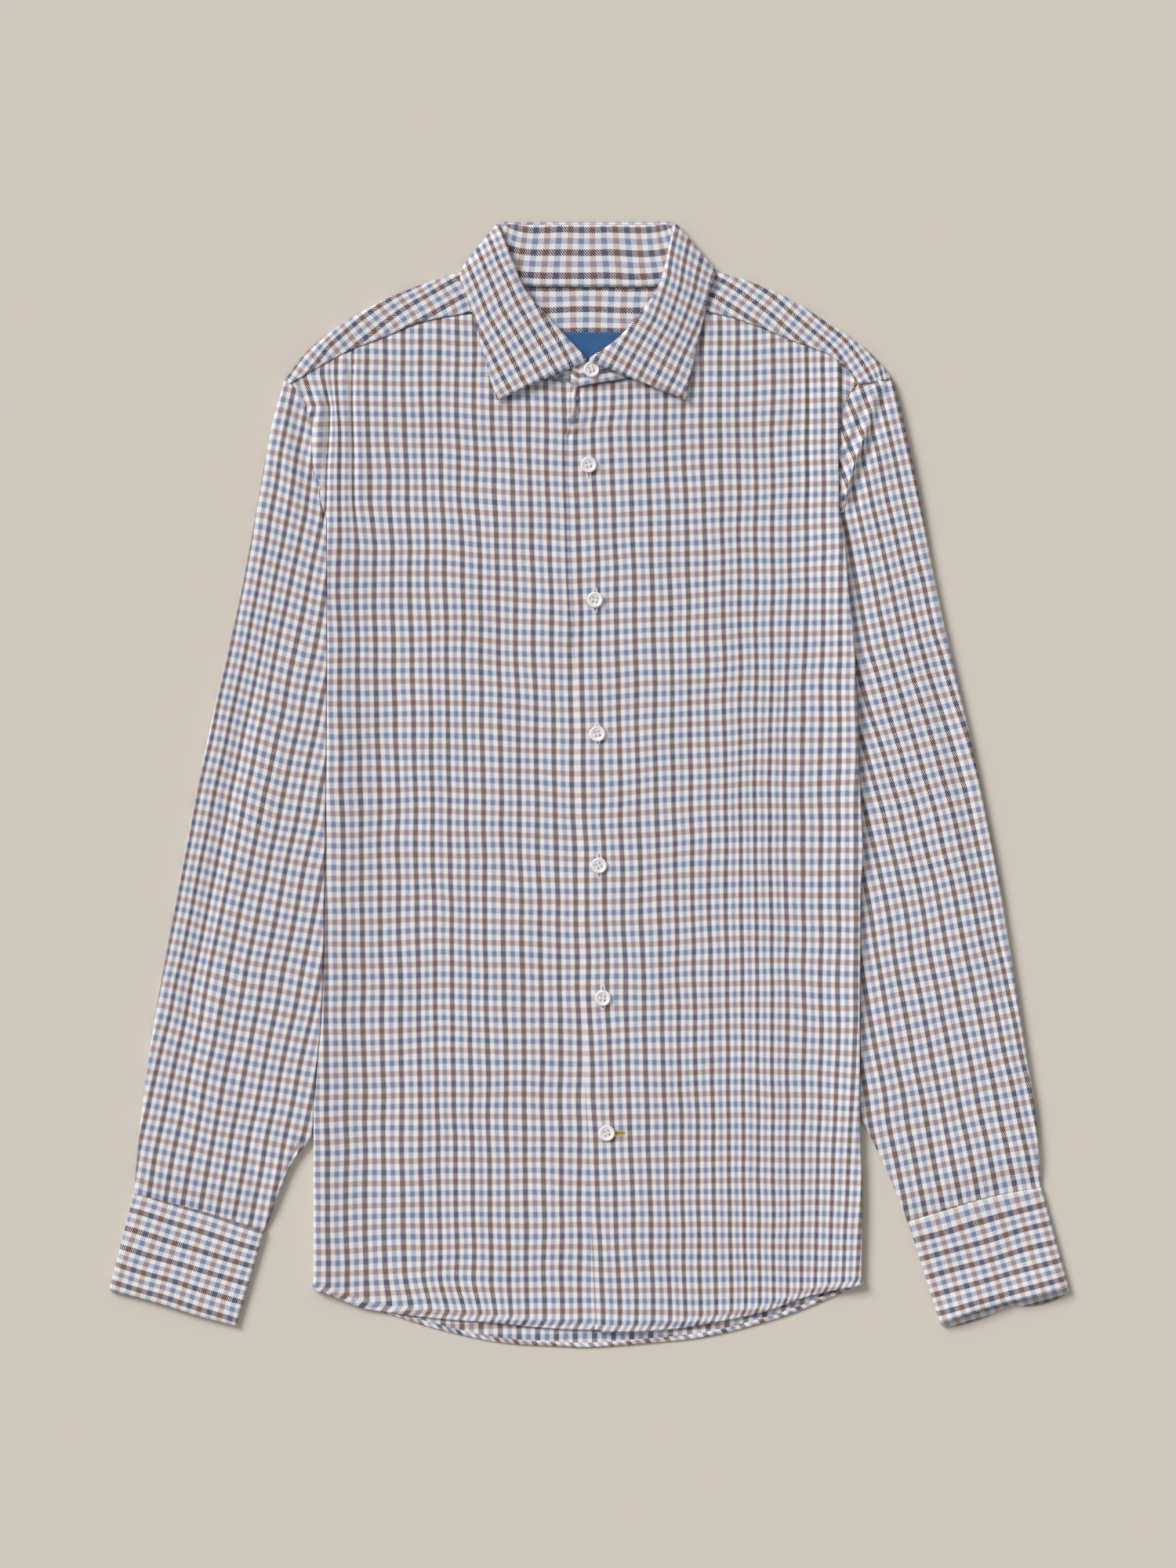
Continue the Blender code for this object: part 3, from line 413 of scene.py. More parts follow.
def plain_check(x, y, degrees, from_x, from_y, stripe, band, stripe_pitch, band_pitch):
    """Check of a piece that lies evenly.

    It takes the check's direction, a point, where stripe 0 and band 0 pass that point, and both pitches.
    """
    across, along = turned(x, y, degrees, from_x, from_y)
    return np.stack([(across - stripe) / stripe_pitch, (along - band) / band_pitch], -1)


def arc(line):
    """Length along a line of points, from its start."""
    return np.append(0, np.cumsum(np.linalg.norm(np.diff(line, axis=0), axis=1)))


def beside(line, x, y):
    """For each plan point, the place along a line that it lies beside, and how far from the line it is."""
    dense = line(np.linspace(0, 1, 300))
    along = arc(dense)
    way = np.gradient(dense, along, axis=0)
    k = np.hypot(x[..., None] - dense[:, 0], y[..., None] - dense[:, 1]).argmin(-1)
    off = np.stack([x, y], -1) - dense[k]
    apart = np.abs(off[..., 0] * way[k][..., 1] - off[..., 1] * way[k][..., 0])
    return along[k] + (off * way[k]).sum(-1), apart


def inset(points, distance):
    """Line on a grid of points, at a distance in from its last column."""
    return np.array([[np.interp(distance, arc(row), c) for c in row.T] for row in points[:, ::-1]])


def pucker(along, away, reach):
    """Small uneven gathers beside a seam, from about -1 to 1: how far along it, and away from it."""
    wave = np.sin(0.9 * along + 1.3 * np.sin(0.23 * along)) + 0.6 * np.sin(0.47 * along + 2.0)
    return wave / 1.6 * np.exp(-((away / reach) ** 2))


def applied(piece):
    """The piece's modifiers made part of a plain mesh, which it then keeps."""
    bpy.context.view_layer.update()
    graph = bpy.context.evaluated_depsgraph_get()
    finished = bpy.data.meshes.new_from_object(piece.evaluated_get(graph))
    piece.modifiers.clear()
    piece.data = finished
    return finished


STRAND_SCALE, STRAND_SHADE = 2400.0, 0.82  # closeness of a thread's strands, and how dark they are between


def thread_material(name, *screen):
    """Twisted cotton thread of one colour."""
    made, shader, node, math_of = new_material(
        name, Roughness=0.75, Specular_IOR_Level=0.3, Sheen_Weight=0.15)
    place = node("TexCoord").outputs["Object"]
    strands = node("TexNoise", {"Vector": place, "Scale": STRAND_SCALE}).outputs[0]
    tone = node("ValToRGB", {"Fac": strands})
    tone.color_ramp.elements[0].color = linear(*(STRAND_SHADE * c for c in screen))
    tone.color_ramp.elements[1].color = linear(*screen)
    made.node_tree.links.new(tone.outputs[0], shader.inputs["Base Color"])
    return made


STITCH_UNEVEN = 0.85, 1.08  # least and greatest share of a stitch's length
STITCH_SEED = 7


def stitch_nodes():
    """Geometry Nodes that lay a short length of thread at each step along a mesh's lines."""
    tree = bpy.data.node_groups.new("stitches", "GeometryNodeTree")
    tree.interface.new_socket("Geometry", in_out="INPUT", socket_type="NodeSocketGeometry")
    for name, kind in (("Pitch", "Float"), ("Length", "Float"), ("Thickness", "Float"), ("Turn", "Float"),
                       ("Seed", "Int"), ("Thread", "Material")):
        tree.interface.new_socket(name, in_out="INPUT", socket_type="NodeSocket" + kind)
    tree.interface.new_socket("Geometry", in_out="OUTPUT", socket_type="NodeSocketGeometry")

    def node(kind, inputs=(), **settings):
        return add_node(tree, kind, inputs, settings)

    given = node("NodeGroupInput").outputs
    lines = node("GeometryNodeMeshToCurve", {"Mesh": given["Geometry"]}).outputs[0]
    places = node("GeometryNodeCurveToPoints", {"Curve": lines, "Length": given["Pitch"]},
                  mode="LENGTH").outputs
    body = node("GeometryNodeMeshUVSphere", {"Segments": 6, "Rings": 4, "Radius": 0.5}).outputs[0]
    way = node("ShaderNodeVectorRotate", {"Vector": places["Tangent"], "Angle": given["Turn"]},
               rotation_type="Z_AXIS").outputs[0]
    lean = node("FunctionNodeAlignRotationToVector", {"Vector": way}, axis="Z").outputs[0]
    shortest, longest = STITCH_UNEVEN
    uneven = node("FunctionNodeRandomValue", {2: shortest, 3: longest, "Seed": given["Seed"]},
                  data_type="FLOAT").outputs[1]
    long = node("ShaderNodeMath", {0: given["Length"], 1: uneven}, operation="MULTIPLY").outputs[0]
    size = node("ShaderNodeCombineXYZ", {0: given["Thickness"], 1: given["Thickness"], 2: long}).outputs[0]
    laid = node("GeometryNodeInstanceOnPoints", {
        "Points": places["Points"], "Instance": body, "Rotation": lean, "Scale": size}).outputs[0]
    real = node("GeometryNodeRealizeInstances", {"Geometry": laid}).outputs[0]
    done = node("GeometryNodeSetMaterial", {"Geometry": real, "Material": given["Thread"]}).outputs[0]
    node("NodeGroupOutput", {"Geometry": done})
    return tree


stitches = stitch_nodes()
cream_thread = thread_material("thread_cream", 226, 219, 212)
STITCH_PITCH, STITCH_LENGTH, STITCH_THICKNESS = 2.5, 1.9, 0.32
STITCH_LIFT = 0.2  # of its thickness, from the cloth's surface to a stitch's middle


def stitched(name, lines, pitch=STITCH_PITCH, length=STITCH_LENGTH, thickness=STITCH_THICKNESS, turn=0.0,
             thread=cream_thread):
    """A piece of stitches along lines of points, lifted by part of a thread to lie on the cloth."""
    mesh = bpy.data.meshes.new(name)
    points = [(x * MM, y * MM, (z + thickness * STITCH_LIFT) * MM) for line in lines for x, y, z in line]
    starts = np.cumsum([0, *(len(line) for line in lines)])
    mesh.from_pydata(points, [(i, i + 1) for a, b in zip(starts, starts[1:]) for i in range(a, b - 1)], [])
    piece = bpy.data.objects.new(name, mesh)
    bpy.context.scene.collection.objects.link(piece)
    sewn = piece.modifiers.new("Sewing", "NODES")
    sewn.node_group = stitches
    values = {"Pitch": pitch * MM, "Length": length * MM, "Thickness": thickness * MM,
              "Turn": math.radians(turn), "Seed": STITCH_SEED, "Thread": thread}
    for socket in stitches.interface.items_tree:
        if socket.in_out == "INPUT" and socket.name in values:
            sewn[socket.identifier] = values[socket.name]
    applied(piece).shade_smooth()
    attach(piece, "root")
    return piece


def side_distance(x, y):
    """How far a plan point is from the nearer side or armhole of the body."""
    right = curve(RIGHT_ARMHOLE, RIGHT_SIDE)(np.linspace(0, 1, 200))[::-1]
    left = curve(LEFT_ARMHOLE, LEFT_SIDE)(np.linspace(0, 1, 200))[::-1]
    return np.minimum(x - np.interp(y, right[:, 1], right[:, 0]),
                      np.interp(y, left[:, 1], left[:, 0]) - x)


def body_top(x, y, flat):
    """Height of the upper cloth of the body over a plan point, where flat is its height in the middle."""
    flat = flat + YOKE_LAYERS * fade(y, *YOKE_FOOT_Y)
    side = np.exp(-((np.maximum(side_distance(x, y), 0) / SIDE_SPREAD) ** 2))
    return flat + (SIDE_HEIGHT - flat) * side


def left_flat(x):
    """Flat height of the left front, which sinks once it is past the edge of the right one."""
    return OVER_FRONT_TOP - PAST_LAP * fade(x, *PAST_LAP_X)


def flat_height(x):
    """Flat height of the upper cloth over a plan point."""
    return np.where(x < LAPS_AT, UNDER_FRONT_TOP, left_flat(x))


def yoke(wearers, shoulder, seam):
    """Grid of half the yoke: rows from the centre back out to the armhole, columns up and over the fold."""
    side = -1 if wearers == "right" else 1
    line, underarm = body_edge(wearers)
    line, lapped = moved(line, -SEAM_GAP * side), moved(line, YOKE_LAP * side)
    neck = [(x or side * SEAM_GAP / 2, y) for x, y in BACK_NECKLINE if x * side >= 0]
    top = curve(neck[::side], shoulder)
    neck_share = nearest(top, *shoulder[0])
    foot_y = BACK_SEAM_Y + 2 * SEAM_GAP
    low = reaches(line, foot_y)
    foot = curve(((side * SEAM_GAP / 2, foot_y), (line(low)[0], foot_y)))
    centre = curve((top(0.0), foot(0.0)))
    behind = panel(centre, stretch(line, 0, low), top, foot)
    front_seam = moved(curve(seam), -YOKE_LAP * side)
    armhole_part = stretch(lapped, 0, nearest(lapped, *front_seam(1.0)))
    over = panel(curve((shoulder[0], front_seam(0.0))), armhole_part, curve(shoulder), front_seam)
    points = []
    steps_behind = np.linspace(1, BEHIND_ENDS, BEHIND_ROWS)
    turns = np.radians(np.linspace(-75, 90, TURN_ROWS))
    for i in range(NECK_RIBS + SHOULDER_RIBS):
        f = max(0.0, (i - NECK_RIBS) / (SHOULDER_RIBS - 1))
        u = i / NECK_RIBS * neck_share if i < NECK_RIBS else neck_share + (1 - neck_share) * f
        edge = top(u)
        radius = (NECK_HEIGHT + (SHOULDER_HEIGHT - NECK_HEIGHT) * f) / 2
        way = behind(u, 0.15) - edge
        way /= np.linalg.norm(way)
        rib = [(*behind(u, v), 0) for v in steps_behind] + [(*(edge + way * radius), 0)]
        if i < NECK_RIBS:
            rib[-1] = (*edge, 0)
            rib += [(*edge, 0)] * (TURN_ROWS + OVER_ROWS)
        else:
            ahead = over(f, 1) - edge
            length = np.linalg.norm(ahead)
            ahead /= length
            for turn in turns:
                to = way if turn <= 0 else ahead
                rib.append((*(edge + to * radius * (1 - math.cos(turn))), radius + radius * math.sin(turn)))
            for step in np.linspace(0, 1, OVER_ROWS + 1)[1:]:
                x, y = edge + ahead * (radius + (length - radius) * step)
                flat = body_top(x, y, flat_height(x))
                flat += YOKE_RAISED + YOKE_PUCKER * pucker(x, (1 - step) * length, YOKE_PUCKER_REACH)
                rib.append((x, y, 2 * radius + (flat - 2 * radius) * fade(step, 0, 1)))
        points.append(rib)
    return np.array(points)


def yoke_check(wearers, points, shoulder):
    """Check of half the yoke, counted from where it folds over the shoulder."""
    out, away = beside(curve(shoulder), points[..., 0], points[..., 1])
    away[:, :BEHIND_ROWS + TURN_ROWS // 2] *= -1
    (numbers, stripes), (band_numbers, bands) = YOKE_STRIPES[wearers], YOKE_BANDS[wearers]
    return np.dstack([counted(away, out, stripes, numbers), counted(out, away, bands, band_numbers)])


yokes = {}
for wearers, shoulder, seam in (("right", RIGHT_SHOULDER, RIGHT_YOKE_SEAM),
                                ("left", LEFT_SHOULDER, LEFT_YOKE_SEAM)):
    points = yoke(wearers, shoulder, seam)
    check = yoke_check(wearers, points, shoulder)
    piece = cloth("yoke_" + wearers + "_cloth", points, check, FLANNEL, under=wearers == "left",
                  skip=lambda r, c: (r < NECK_RIBS) & (c >= BEHIND_ROWS))
    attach(piece, "root")
    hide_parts("yoke_" + wearers)
    yokes[wearers] = piece, points
stitched("yoke_stitches", [inset(points[NECK_RIBS:-1], YOKE_STITCH_IN) for piece, points in yokes.values()])

# ---------------------------------------------------------------------------------------------------------
# The yoke's lining, a second layer of the same flannel inside the yoke. It shows in the neck, between the
# collar seam and the fronts, with the label sewn on it.
# ---------------------------------------------------------------------------------------------------------
LINING_TOP = 2.3
LINING_FOOT = ((-92, 268), (92, 268))
LINING_NECK_HALF, LINING_SHORT = 80, 0.2
LINING_COLUMNS, LINING_ROWS = 73, 37
LINING_CHECK = (180, 0, 348, 0.0, -6.6, 15.2, 18.4)  # in the order that plain_check takes it

neck = curve([(x, y - LINING_SHORT) for x, y in BACK_NECKLINE if abs(x) < LINING_NECK_HALF])
lining_plan = panel(curve((neck(0.0), LINING_FOOT[0])), curve((neck(1.0), LINING_FOOT[1])), neck,
                    curve(LINING_FOOT))
plan = lining_plan(np.linspace(0, 1, LINING_COLUMNS)[None], np.linspace(0, 1, LINING_ROWS)[:, None])
x, y = plan[..., 0], plan[..., 1]
lining = cloth("yoke_lining_cloth", np.dstack([plan, np.full_like(x, LINING_TOP)]),
               plain_check(x, y, *LINING_CHECK), FLANNEL)
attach(lining, "root")
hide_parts("yoke_lining")

# ---------------------------------------------------------------------------------------------------------
# The neck label, a plain strip of blue satin ribbon with fine ribs across it. Its top and bottom edges are
# folded under and sewn on the lining.
# ---------------------------------------------------------------------------------------------------------
LABEL_HALF, LABEL_TOP_Y, LABEL_BOTTOM_Y = 29.0, 317.0, 298.0
LABEL_THICKNESS, LABEL_ABOVE_LINING = 0.4, 0.7
LABEL_UNEVEN, LABEL_CLOSENESS = 0.12, 3  # height of its unevenness, and how much closer than the cloth's
LABEL_COLUMNS, LABEL_ROWS = 60, 20
RIB_SCALE = 420.0


def satin_material():
    """Blue ribbon with fine ribs across it."""
    made, shader, node, math_of = new_material(
        "label_satin", Roughness=0.42, Specular_IOR_Level=0.5, Sheen_Weight=0.1)
    place = node("UVMap", uv_map="cloth").outputs[0]
    rib = node("TexWave", {"Vector": place, "Scale": RIB_SCALE, "Distortion": 1.2, "Detail": 1.0},
               bands_direction="Y").outputs[0]
    tone = node("ValToRGB", {"Fac": rib})
    tone.color_ramp.elements[0].color = linear(30, 76, 124)
    tone.color_ramp.elements[1].color = linear(46, 97, 146)
    made.node_tree.links.new(tone.outputs[0], shader.inputs["Base Color"])
    bump = node("Bump", {"Height": rib, "Distance": 0.05 * MM, "Strength": 0.5})
    made.node_tree.links.new(bump.outputs[0], shader.inputs["Normal"])
    return made


x, y = np.meshgrid(np.linspace(-LABEL_HALF, LABEL_HALF, LABEL_COLUMNS),
                   np.linspace(LABEL_TOP_Y, LABEL_BOTTOM_Y, LABEL_ROWS))
z = LINING_TOP + LABEL_ABOVE_LINING + LABEL_UNEVEN * ripple(LABEL_CLOSENESS * x, LABEL_CLOSENESS * y)
label = cloth("neck_label_cloth", np.dstack([x, y, z]), np.dstack([x / STRIPE_PITCH, y / BAND_PITCH]),
              LABEL_THICKNESS, finish=satin_material())
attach(label, "root")
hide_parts("neck_label")

# ---------------------------------------------------------------------------------------------------------
# The fronts, one layer of flannel each, hung from the yoke seams. The wearer's right one lies under, and
# the left one laps over it with a plain folded edge. Both end in a narrow hem that follows the tail's curve.
# ---------------------------------------------------------------------------------------------------------
FRONT_WIDTH, FRONT_LENGTH = 200.0, 650.0
HEM_WIDTH, HEM_HEIGHT, HEM_STITCH_IN = 5.5, 0.5, 4.8
HEM_ROWS = (0, 0.9, 2, 3.2, 4.4, 5.2, 6, 7.5)  # distances in from the hem at which the grid is fine
HEM_ROPING, HEM_SLANT = 0.4, 0.3  # height of the hem's twist, and how far the check runs sideways in it
SIDE_GAP_HEIGHT = 0.4  # between the front's and the back's folded sides
SEAM_SINKS, SEAM_REACH, ARMHOLE_REACH = 0.6, 6, 3  # how far the cloth sinks to a seam, and from how far
YOKE_SEAM_PUCKER, ARMHOLE_PUCKER, ARMHOLE_PUCKER_REACH = 0.2, 1.0, 7
UNEVEN = 0.22  # height of the soft unevenness of the fronts and sleeves
# How far the right hem's check runs sideways, where that starts and ends, and how far up it fades.
TWIST, TWIST_STARTS, TWIST_ENDS, TWIST_UP = 0.42, (-168, -112), (-90, -40), (2, 30)
STRIP_X, STRIP_Y, STRIP_SLANT = (175, 176.4), (232, 256), 0.025  # the check beside the left armhole's fold
ROLLED_X, ROLLED_Y, ROLLED_HEIGHT = (-6, -9), (238, 248), 0.8  # the crumpled top of the left front's edge
ROW_STEP = 2.4
RIGHT_NECKLINE = ((-72, 333.3), (-64, 314), (-48, 297), (-28.6, 286.5), (-12.6, 282), (2, 280.5),
                  (22, 281.5))
LEFT_NECKLINE = ((71, 333.9), (63, 314), (48, 297), (27, 284.9), (10, 281.5), (-9.5, 278.9))
RIGHT_FRONT_EDGE = ((22, 281.5), (20, 210), (21, 130), (26, 0), (31, -140), (37, -383.6))
LEFT_FRONT_EDGE = ((-9.5, 278.9), (-13.4, 272), (-13.6, 261), (-14.8, 251), (-16.6, 242), (-16.5, 232),
                   (-16, 211), (-13.8, 137.5), (-8.8, 55), (-6.1, -41), (-3.3, -137.5), (-1.1, -242),
                   (4.4, -382.6))
RIGHT_FRONT_HEM = ((-193.1, -354.5), (-182.6, -358), (-168.3, -364), (-153.5, -369), (-113.3, -374.4),
                   (-65.5, -378.4), (-20.4, -382.4), (37, -383.6))
LEFT_FRONT_HEM = ((4.4, -382.6), (11, -384.6), (47.3, -383.4), (76.5, -380), (122, -370.7), (154, -359.5),
                  (191.5, -351.3))
# Creases: x and y of one end, x and y of the other, half width, and height (down if negative).
FRONT_CREASES = (
    (-183, 275, -181.5, 262, 2.0, -1.5), (-181.5, 262, -183.7, 222, 2.0, -1.8),
    (-183.7, 222, -184, 192, 2.0, -1.2), (-188, 282, -190, 232, 4, 1.4), (-177, 280, -177.5, 205, 3.5, 1.1),
    (-168.3, 306, -165.3, 240, 1.3, -1.5), (-165.3, 240, -164.4, 186, 1.3, -1.1),
    (-171, 300, -168, 195, 3, 0.9), (-161, 300, -160.5, 200, 3, 0.6), (179.6, 296, 178.4, 236, 2.6, -1.6),
    (154.8, 308, 154.6, 186, 1.3, -1.2), (151.5, 300, 151.5, 200, 3, 0.8),
    (-7.6, 279, -7.8, 262, 1.1, -2.2), (-7.8, 262, -12.7, 249, 1.1, -2.2),
    (-12.7, 249, -15.6, 240, 1.1, -0.9),
    (-10.8, 276, -11.0, 260, 1.7, 1.7), (-11.0, 260, -14.9, 248, 1.5, 0.9), (-4.2, 278, -4.8, 262, 2.4, 1.0),
    (-4.8, 262, -9.5, 244, 2.4, 0.9),
    (176, 186, 186, 78, 13, 2.1), (186, 78, 189, -60, 13, 2.0), (189, -60, 188, -250, 13, 1.2),
    (-96, 150, -110, 40, 16, 0.5), (70, 120, 96, -30, 18, 0.5), (-60, -120, -84, -240, 18, 0.45),
    (120, -150, 140, -280, 16, 0.5), (-140, 60, -150, -60, 14, -0.4), (30, -60, 44, -180, 16, -0.4),
    (-120, -200, -130, -300, 12, 0.4), (60, 240, 84, 170, 14, 0.4), (-50, 230, -70, 150, 14, 0.4),
)
# Folds that rise softly and end steeply, in the same columns, and how far their steep side reaches.
FRONT_FLAPS = ((174.9, 302, 174.9, 262, 5, 2.0), (174.9, 262, 174.5, 196, 5, 1.2))
STEEP = 1.7
CREASE_ENDS, FLAP_ENDS = 0.15, 0.1  # how far past and short of its ends each dies out, in lengths of it
# Where dark stripes cross: y, then the x of each numbered stripe.
RIGHT_FRONT_STRIPES = (-2, -1.16, -0.84, 0, 0.86, 1.14, 2, 3, 4, 8, 13), (
    (286, -199.7, -189, -185, -177.7, -166.8, -165.4, -156.2, -143, -130.4, -80.3, -18),
    (264, -192.5, -182.6, -181, -176, -166.4, -165.2, -155.2, -142.5, -130, -80.1, -17.8),
    (250, -196.5, -182.6, -181.6, -174.9, -166.2, -165, -154.6, -142.2, -129.8, -80, -17.6),
    (222, -196, -184.2, -183.2, -174.9, -166, -164.6, -154, -141, -128.5, -79, -16.5),
    (198, -197, -185, -183.6, -174.9, -165.9, -164.1, -153.5, -140.3, -127.6, -78.5, -15.8),
    (165, -199, -189, -185.5, -174.6, -164.5, -160.9, -150.2, -137.5, -125.2, -77, -14.6),
    (137, -200.5, -190, -186, -175.5, -164.8, -161.3, -150.5, -138, -125.5, -76.5, -14),
    (0, -199.1, -188.2, -184.2, -173.3, -162.2, -158.6, -147.5, -134.5, -121.6, -74.3, -11.6),
    (-165, -196.8, -186, -181.8, -171, -159.9, -156.3, -145.2, -132.3, -119.4, -71.5, -7.2),
    (-369, -196.1, -184.8, -180.6, -169.4, -157.9, -154.1, -142.7, -129.3, -116, -68.2, -6))
LEFT_FRONT_STRIPES = (0, 4, 8, 12, 15), (
    (278, -7.7, 40.9, 92, 141.4, 176), (262, -7.9, 40.8, 92, 141.4, 176), (250, -10, 40.7, 92, 141.4, 176),
    (137, -6, 44.6, 94.6, 140.8, 176.6), (0, -3.3, 47.3, 95.7, 137, 175),
    (-165, 0.6, 51.7, 97.4, 139.2, 175), (-369, 10, 56.7, 100, 139.7, 167.8))
# Where brown bands cross: x, then the y of each numbered band.
FRONT_BANDS = (-38, -29, -15, 0, 4), (
    (-176, -358.6, -220, -5, 223.3, 281.6), (-105, -355.3, -217.8, -3.3, 222.8, 281),
    (-12, -355.3, -218.9, -7.7, 217, 276.7), (5, -355.3, -218.9, -7.7, 218.9, 278),
    (110, -355.3, -216.7, 0, 223.3, 281), (184, -354.8, -220, 0.6, 226.6, 284))


def from_line(x, y, x0, y0, x1, y1, ends):
    """For each plan point, its distance from a line, and a strength that dies out at the line's ends."""
    length = math.hypot(x1 - x0, y1 - y0)
    along = ((x - x0) * (x1 - x0) + (y - y0) * (y1 - y0)) / length**2
    off = ((x - x0) * (y1 - y0) - (y - y0) * (x1 - x0)) / length
    return off, fade(along, -ends, ends) * (1 - fade(along, 1 - ends, 1 + ends))


def crease(x, y, rows):
    """Height that creases add at a plan point, each of them a soft ridge or trough."""
    rise = np.zeros_like(x)
    for *line, half_width, height in rows:
        off, strength = from_line(x, y, *line, CREASE_ENDS)
        rise += height * strength * np.exp(-((off / half_width) ** 2))
    return rise


def flap(x, y, rows):
    """Height of folds that rise softly on one side and end steeply on the other, to the left as they run."""
    rise = np.zeros_like(x)
    for *line, half_width, height in rows:
        off, strength = from_line(x, y, *line, FLAP_ENDS)
        side = np.where(off > 0, half_width, STEEP)
        rise = np.maximum(rise, height * strength * np.exp(-((off / side) ** 2)))
    return rise


def front_height(x, y, flat):
    """Height of a front's outer side over a plan point, before its edges are shaped."""
    creased = body_top(x, y, flat) + crease(x, y, FRONT_CREASES)
    return creased + flap(x, y, FRONT_FLAPS) + UNEVEN * ripple(x, y)


def front(wearers, yoke_seam, neckline, edge, hem, flat, stripes):
    """Grid and check of one front, from its armhole and folded side to its front edge."""
    line, underarm = body_edge(wearers)
    outer = stretch(line, nearest(line, *yoke_seam[-1]), 1)
    top = curve(yoke_seam[::-1], neckline)
    bottom = curve(hem if wearers == "right" else hem[::-1])
    at = panel(outer, curve(edge), top, bottom)
    across = np.array([*FOLD_COLUMNS, *np.arange(2.7, 32, 0.95), *np.linspace(33, 185, 64),
                       *np.linspace(186, FRONT_WIDTH, 16)]) / FRONT_WIDTH
    down = 1 - spaced(FRONT_LENGTH, ROW_STEP, HEM_ROWS)[::-1]
    down[0] = 0.0008  # the first row lies a little down from the seam, where the edges have met
    plan = at(across[None], down[:, None])
    x, y = plan[..., 0], plan[..., 1]
    from_side, from_top = across[None] * FRONT_WIDTH, down[:, None] * FRONT_LENGTH
    from_hem = FRONT_LENGTH - from_top
    beside_arm = fade(y, *UNDERARM_Y)
    z = front_height(x, y, flat(x))
    z -= (z - EDGE_DEPTH - SIDE_GAP_HEIGHT) * rounded_edge(from_side) * (1 - beside_arm)
    puckers = YOKE_SEAM_PUCKER * pucker(x, from_top, SEAM_REACH)
    z -= SEAM_SINKS * (1 - fade(from_top, 0, SEAM_REACH)) - puckers
    gathers = ARMHOLE_PUCKER * pucker(y, from_side, ARMHOLE_PUCKER_REACH)
    z -= beside_arm * (SEAM_SINKS * (1 - fade(from_side, 0, ARMHOLE_REACH)) - gathers)
    z += HEM_HEIGHT * (1 - fade(from_hem, HEM_WIDTH, HEM_WIDTH + 1))
    in_hem = 1 - fade(from_hem, HEM_WIDTH, HEM_WIDTH + 3)
    z += HEM_ROPING * in_hem * np.sin(0.95 * x + 0.6 * from_hem + 1.5 * np.sin(0.11 * x))
    check = np.dstack([counted(x, y, stripes[1], stripes[0]), counted(y, x, FRONT_BANDS[1], FRONT_BANDS[0])])
    check[..., 0] += HEM_SLANT * in_hem * (HEM_WIDTH - np.minimum(from_hem, HEM_WIDTH)) / HEM_WIDTH
    if wearers == "right":
        twist = fade(x, *TWIST_STARTS) * (1 - fade(x, *TWIST_ENDS)) * (1 - fade(from_hem, *TWIST_UP))
        check[..., 0] -= TWIST * twist
    else:
        check[..., 1] += fade(x, *STRIP_X) * fade(y, *STRIP_Y) * STRIP_SLANT * (x - STRIP_X[0])
        rolled = fade(x, *ROLLED_X) * fade(y, *ROLLED_Y) * ROLLED_HEIGHT
        z += rolled * (np.sin(1.1 * y + 2 * np.sin(0.4 * y)) + np.sin(0.7 * y - 1.2 * x))
    return np.dstack([x, y, z]), check


fronts = {}
for wearers, *edges, flat, stripes in (
        ("right", RIGHT_YOKE_SEAM, RIGHT_NECKLINE, RIGHT_FRONT_EDGE, RIGHT_FRONT_HEM,
         lambda x: np.full_like(x, UNDER_FRONT_TOP), RIGHT_FRONT_STRIPES),
        ("left", LEFT_YOKE_SEAM, LEFT_NECKLINE, LEFT_FRONT_EDGE, LEFT_FRONT_HEM,
         left_flat, LEFT_FRONT_STRIPES)):
    points, check = front(wearers, *edges, flat, stripes)
    piece = cloth("front_" + wearers + "_cloth", points, check, FLANNEL, under=wearers == "left")
    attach(piece, "root")
    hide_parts("front_" + wearers)
    fronts[wearers] = piece, points
stitched("front_hem_stitches",
         [inset(points.swapaxes(0, 1), HEM_STITCH_IN) for piece, points in fronts.values()])

# ---------------------------------------------------------------------------------------------------------
# The collar: a stand of two layers of flannel with interlining between them, whose ends lap and button, and
# a leaf of the same make that is sewn on it, rolls over its top edge and falls to two points.
# ---------------------------------------------------------------------------------------------------------
FUSED = 1.4
STAND_THICKNESS, LEAF_THICKNESS = 1.3, 1.3
